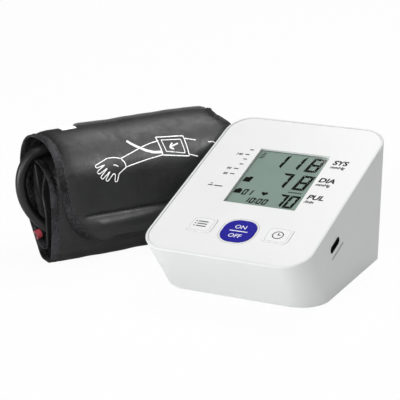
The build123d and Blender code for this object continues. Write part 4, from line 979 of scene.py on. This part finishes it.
def makeFacePrintAndShade():
    for name, layer in facePrintAndShade["layers"].items():
        deep, near = layer["depth"], layer["depth"] - facePrintAndShade["thickness"]
        shapes = letters(layer.get("words", []), deep, layer.get("weight", facePrintAndShade["weight"]))
        shapes += [prism(bar(*line), deep, near) for line in layer.get("bars", [])]
        shapes += [frameRing(*ring, deep, near) for ring in layer.get("rings", [])]
        meshPiece(name, joined(shapes), layer["inkAndShade"], layer["body"], smooth=False)


makeFacePrintAndShade()
print("face and keys printed")

# Power inlet in the right wall: a black liner in the casing's slot, the socket's own black and painted shade
# inside the slot, and beside it a short grey line, painted shade for a line engraved there, both along the
# face's slope. Places are to the rear and up on the wall.
inlet = {
    "middle": (46.98, 34.08),
    "length": 13.4,
    "height": 4.8,
    "wall": 1.0,
    "proud": 0.12,
    "back": 2.4,
    "lineMiddle": (51.6, 28.9),
    "lineLength": 17.5,
    "lineHeight": 1.3,
    "lineBack": 0.3,
    # places round the slot where the wall is sampled
    "probes": [(59.0, 36.0), (59.0, 30.0), (52.0, 25.0), (46.0, 24.0), (50.0, 40.0)],
}


def wallPlane():
    # the wall as a plane through places hit by rays from 0.3 m to the right: x = a + b * rear + c * height
    casing = nodes["top_housing"]
    rows, across = [], []
    for rear, height in inlet["probes"]:
        outside = Vector((0.3, (rear + layout["faceOrigin"][1]) * mm, height * mm))
        start = casing.matrix_world.inverted() @ outside
        place = casing.ray_cast(start, Vector((-1, 0, 0)))[1]
        rows.append((1.0, rear, height))
        across.append((casing.matrix_world @ place).x / mm)
    return np.linalg.lstsq(np.array(rows), np.array(across), rcond=None)[0]


def slotRing(plane, middle, length, height, lift):
    # a slot's outline on the wall: two half circles joined by straight sides
    along, across = rounded(length, height, height / 2, 40)
    rear = middle[0] + along * cos(faceSlope) - across * sin(faceSlope)
    up = middle[1] + along * sin(faceSlope) + across * cos(faceSlope)
    right = plane[0] + plane[1] * rear + plane[2] * up + lift
    return np.stack([right, rear + layout["faceOrigin"][1], up], 1) * mm


def makeInlet():
    plane, proud, back, slim = wallPlane(), inlet["proud"], inlet["back"], 2 * inlet["wall"]
    middle, length, height = inlet["middle"], inlet["length"], inlet["height"]
    # a black liner on the slot's walls: the socket's own black and painted shade inside the slot
    rings = [slotRing(plane, middle, length - less, height - less, lift)
             for less, lift in ((0, -back), (0, proud), (slim, proud), (slim, -back))]
    meshPiece("inletInsert", tube(rings), "socketBlackAndShade", "monitor", smooth=False)
    # the engraved line as a grey bar: its grey is painted shade of the cut
    low, high = (slotRing(plane, inlet["lineMiddle"], inlet["lineLength"], inlet["lineHeight"], lift)
                 for lift in (-inlet["lineBack"], proud))
    meshPiece("inletLine", block(low, high), "paintedCutShade", "monitor", smooth=False)


makeInlet()
print("power inlet lined")

# Studio: pale floor, white surroundings, two soft lamps in front, two high behind that brush the roll's
# shoulder and top without showing in the display, and one above on the right
studio = {
    "floorColour": "#F4F4F4",
    "floorSize": 6.0,
    "worldStrength": 0.08,
    "floorGlow": 0.95,
    # place, size and power of each lamp
    "lamps": [((-0.9, -1.3, 0.45), 0.8, 14.8), ((0.3, -1.6, 0.9), 0.9, 10.2), ((0.2, 0.75, 1.6), 0.8, 8.0),
              ((-0.2, 1.05, 1.4), 0.8, 6.5), ((0.7, 0.2, 1.6), 0.8, 6.5)],
    # one more from the right, which reaches the cuff's cloth alone and leaves the casing's wall in shade
    "clothLamp": ((1.2, -0.1, 0.95), 0.6, 16.0),
    "litCloth": ["cuffWrap", "cuffStitches", "cuffPrint", "cuffTail", "loopPatch", "wovenLabel"],
}


def makeFloor():
    # matt paint that shows white where the camera sees it
    size = studio["floorSize"] / 2
    mesh = bpy.data.meshes.new("floor")
    corners = [(-size, -size, 0), (size, -size, 0), (size, size, 0), (-size, size, 0)]
    mesh.from_pydata(corners, [], [(0, 1, 2, 3)])
    floor = bpy.data.objects.new("floor", mesh)
    scene.collection.objects.link(floor)
    made, tree = newMaterial("paintedFloor")
    matt = addNode(tree, "BsdfPrincipled", {"Base Color": linear(studio["floorColour"]), "Roughness": 0.9})
    glow = addNode(tree, "Emission", {"Color": (1, 1, 1, 1), "Strength": 1.0})
    seen = {0: addNode(tree, "LightPath").outputs["Is Camera Ray"]}
    share = addNode(tree, "Math", {1: studio["floorGlow"]}, seen, operation="MULTIPLY")
    mixed = addNode(tree, "MixShader", links={0: share.outputs[0], 1: matt.outputs[0], 2: glow.outputs[0]})
    addNode(tree, "OutputMaterial", links={"Surface": mixed.outputs[0]})
    mesh.materials.append(made)


def makeRoom():
    # white where the camera sees it, also through clear sheets, and dim as a light
    world = bpy.data.worlds.new("whiteRoom")
    scene.world = world
    world.use_nodes = True
    tree = world.node_tree
    tree.nodes.clear()
    rays = addNode(tree, "LightPath").outputs
    seen = {0: rays["Is Camera Ray"], 1: rays["Is Transmission Ray"]}
    direct = {"Value": addNode(tree, "Math", links=seen, operation="MAXIMUM").outputs[0]}
    strength = addNode(tree, "MapRange", {"To Min": studio["worldStrength"], "To Max": 1.0}, direct)
    room = addNode(tree, "Background", {"Color": (1, 1, 1, 1)}, {"Strength": strength.outputs["Result"]})
    addNode(tree, "OutputWorld", links={"Surface": room.outputs[0]})


def makeLamps():
    # each softbox is turned to the middle of the group, and the last one lights the cloth alone
    for place, size, power in studio["lamps"] + [studio["clothLamp"]]:
        lamp = bpy.data.lights.new("softbox", "AREA")
        lamp.size = size
        lamp.energy = power
        obj = bpy.data.objects.new("softbox", lamp)
        obj.location = place
        obj.rotation_euler = (-Vector(place)).to_track_quat("-Z", "Y").to_euler()
        scene.collection.objects.link(obj)
    cloth = bpy.data.collections.new("litCloth")
    for name in studio["litCloth"]:
        cloth.objects.link(bpy.data.objects[name])
    obj.light_linking.receiver_collection = cloth


makeFloor()
makeRoom()
makeLamps()
print("studio lit")
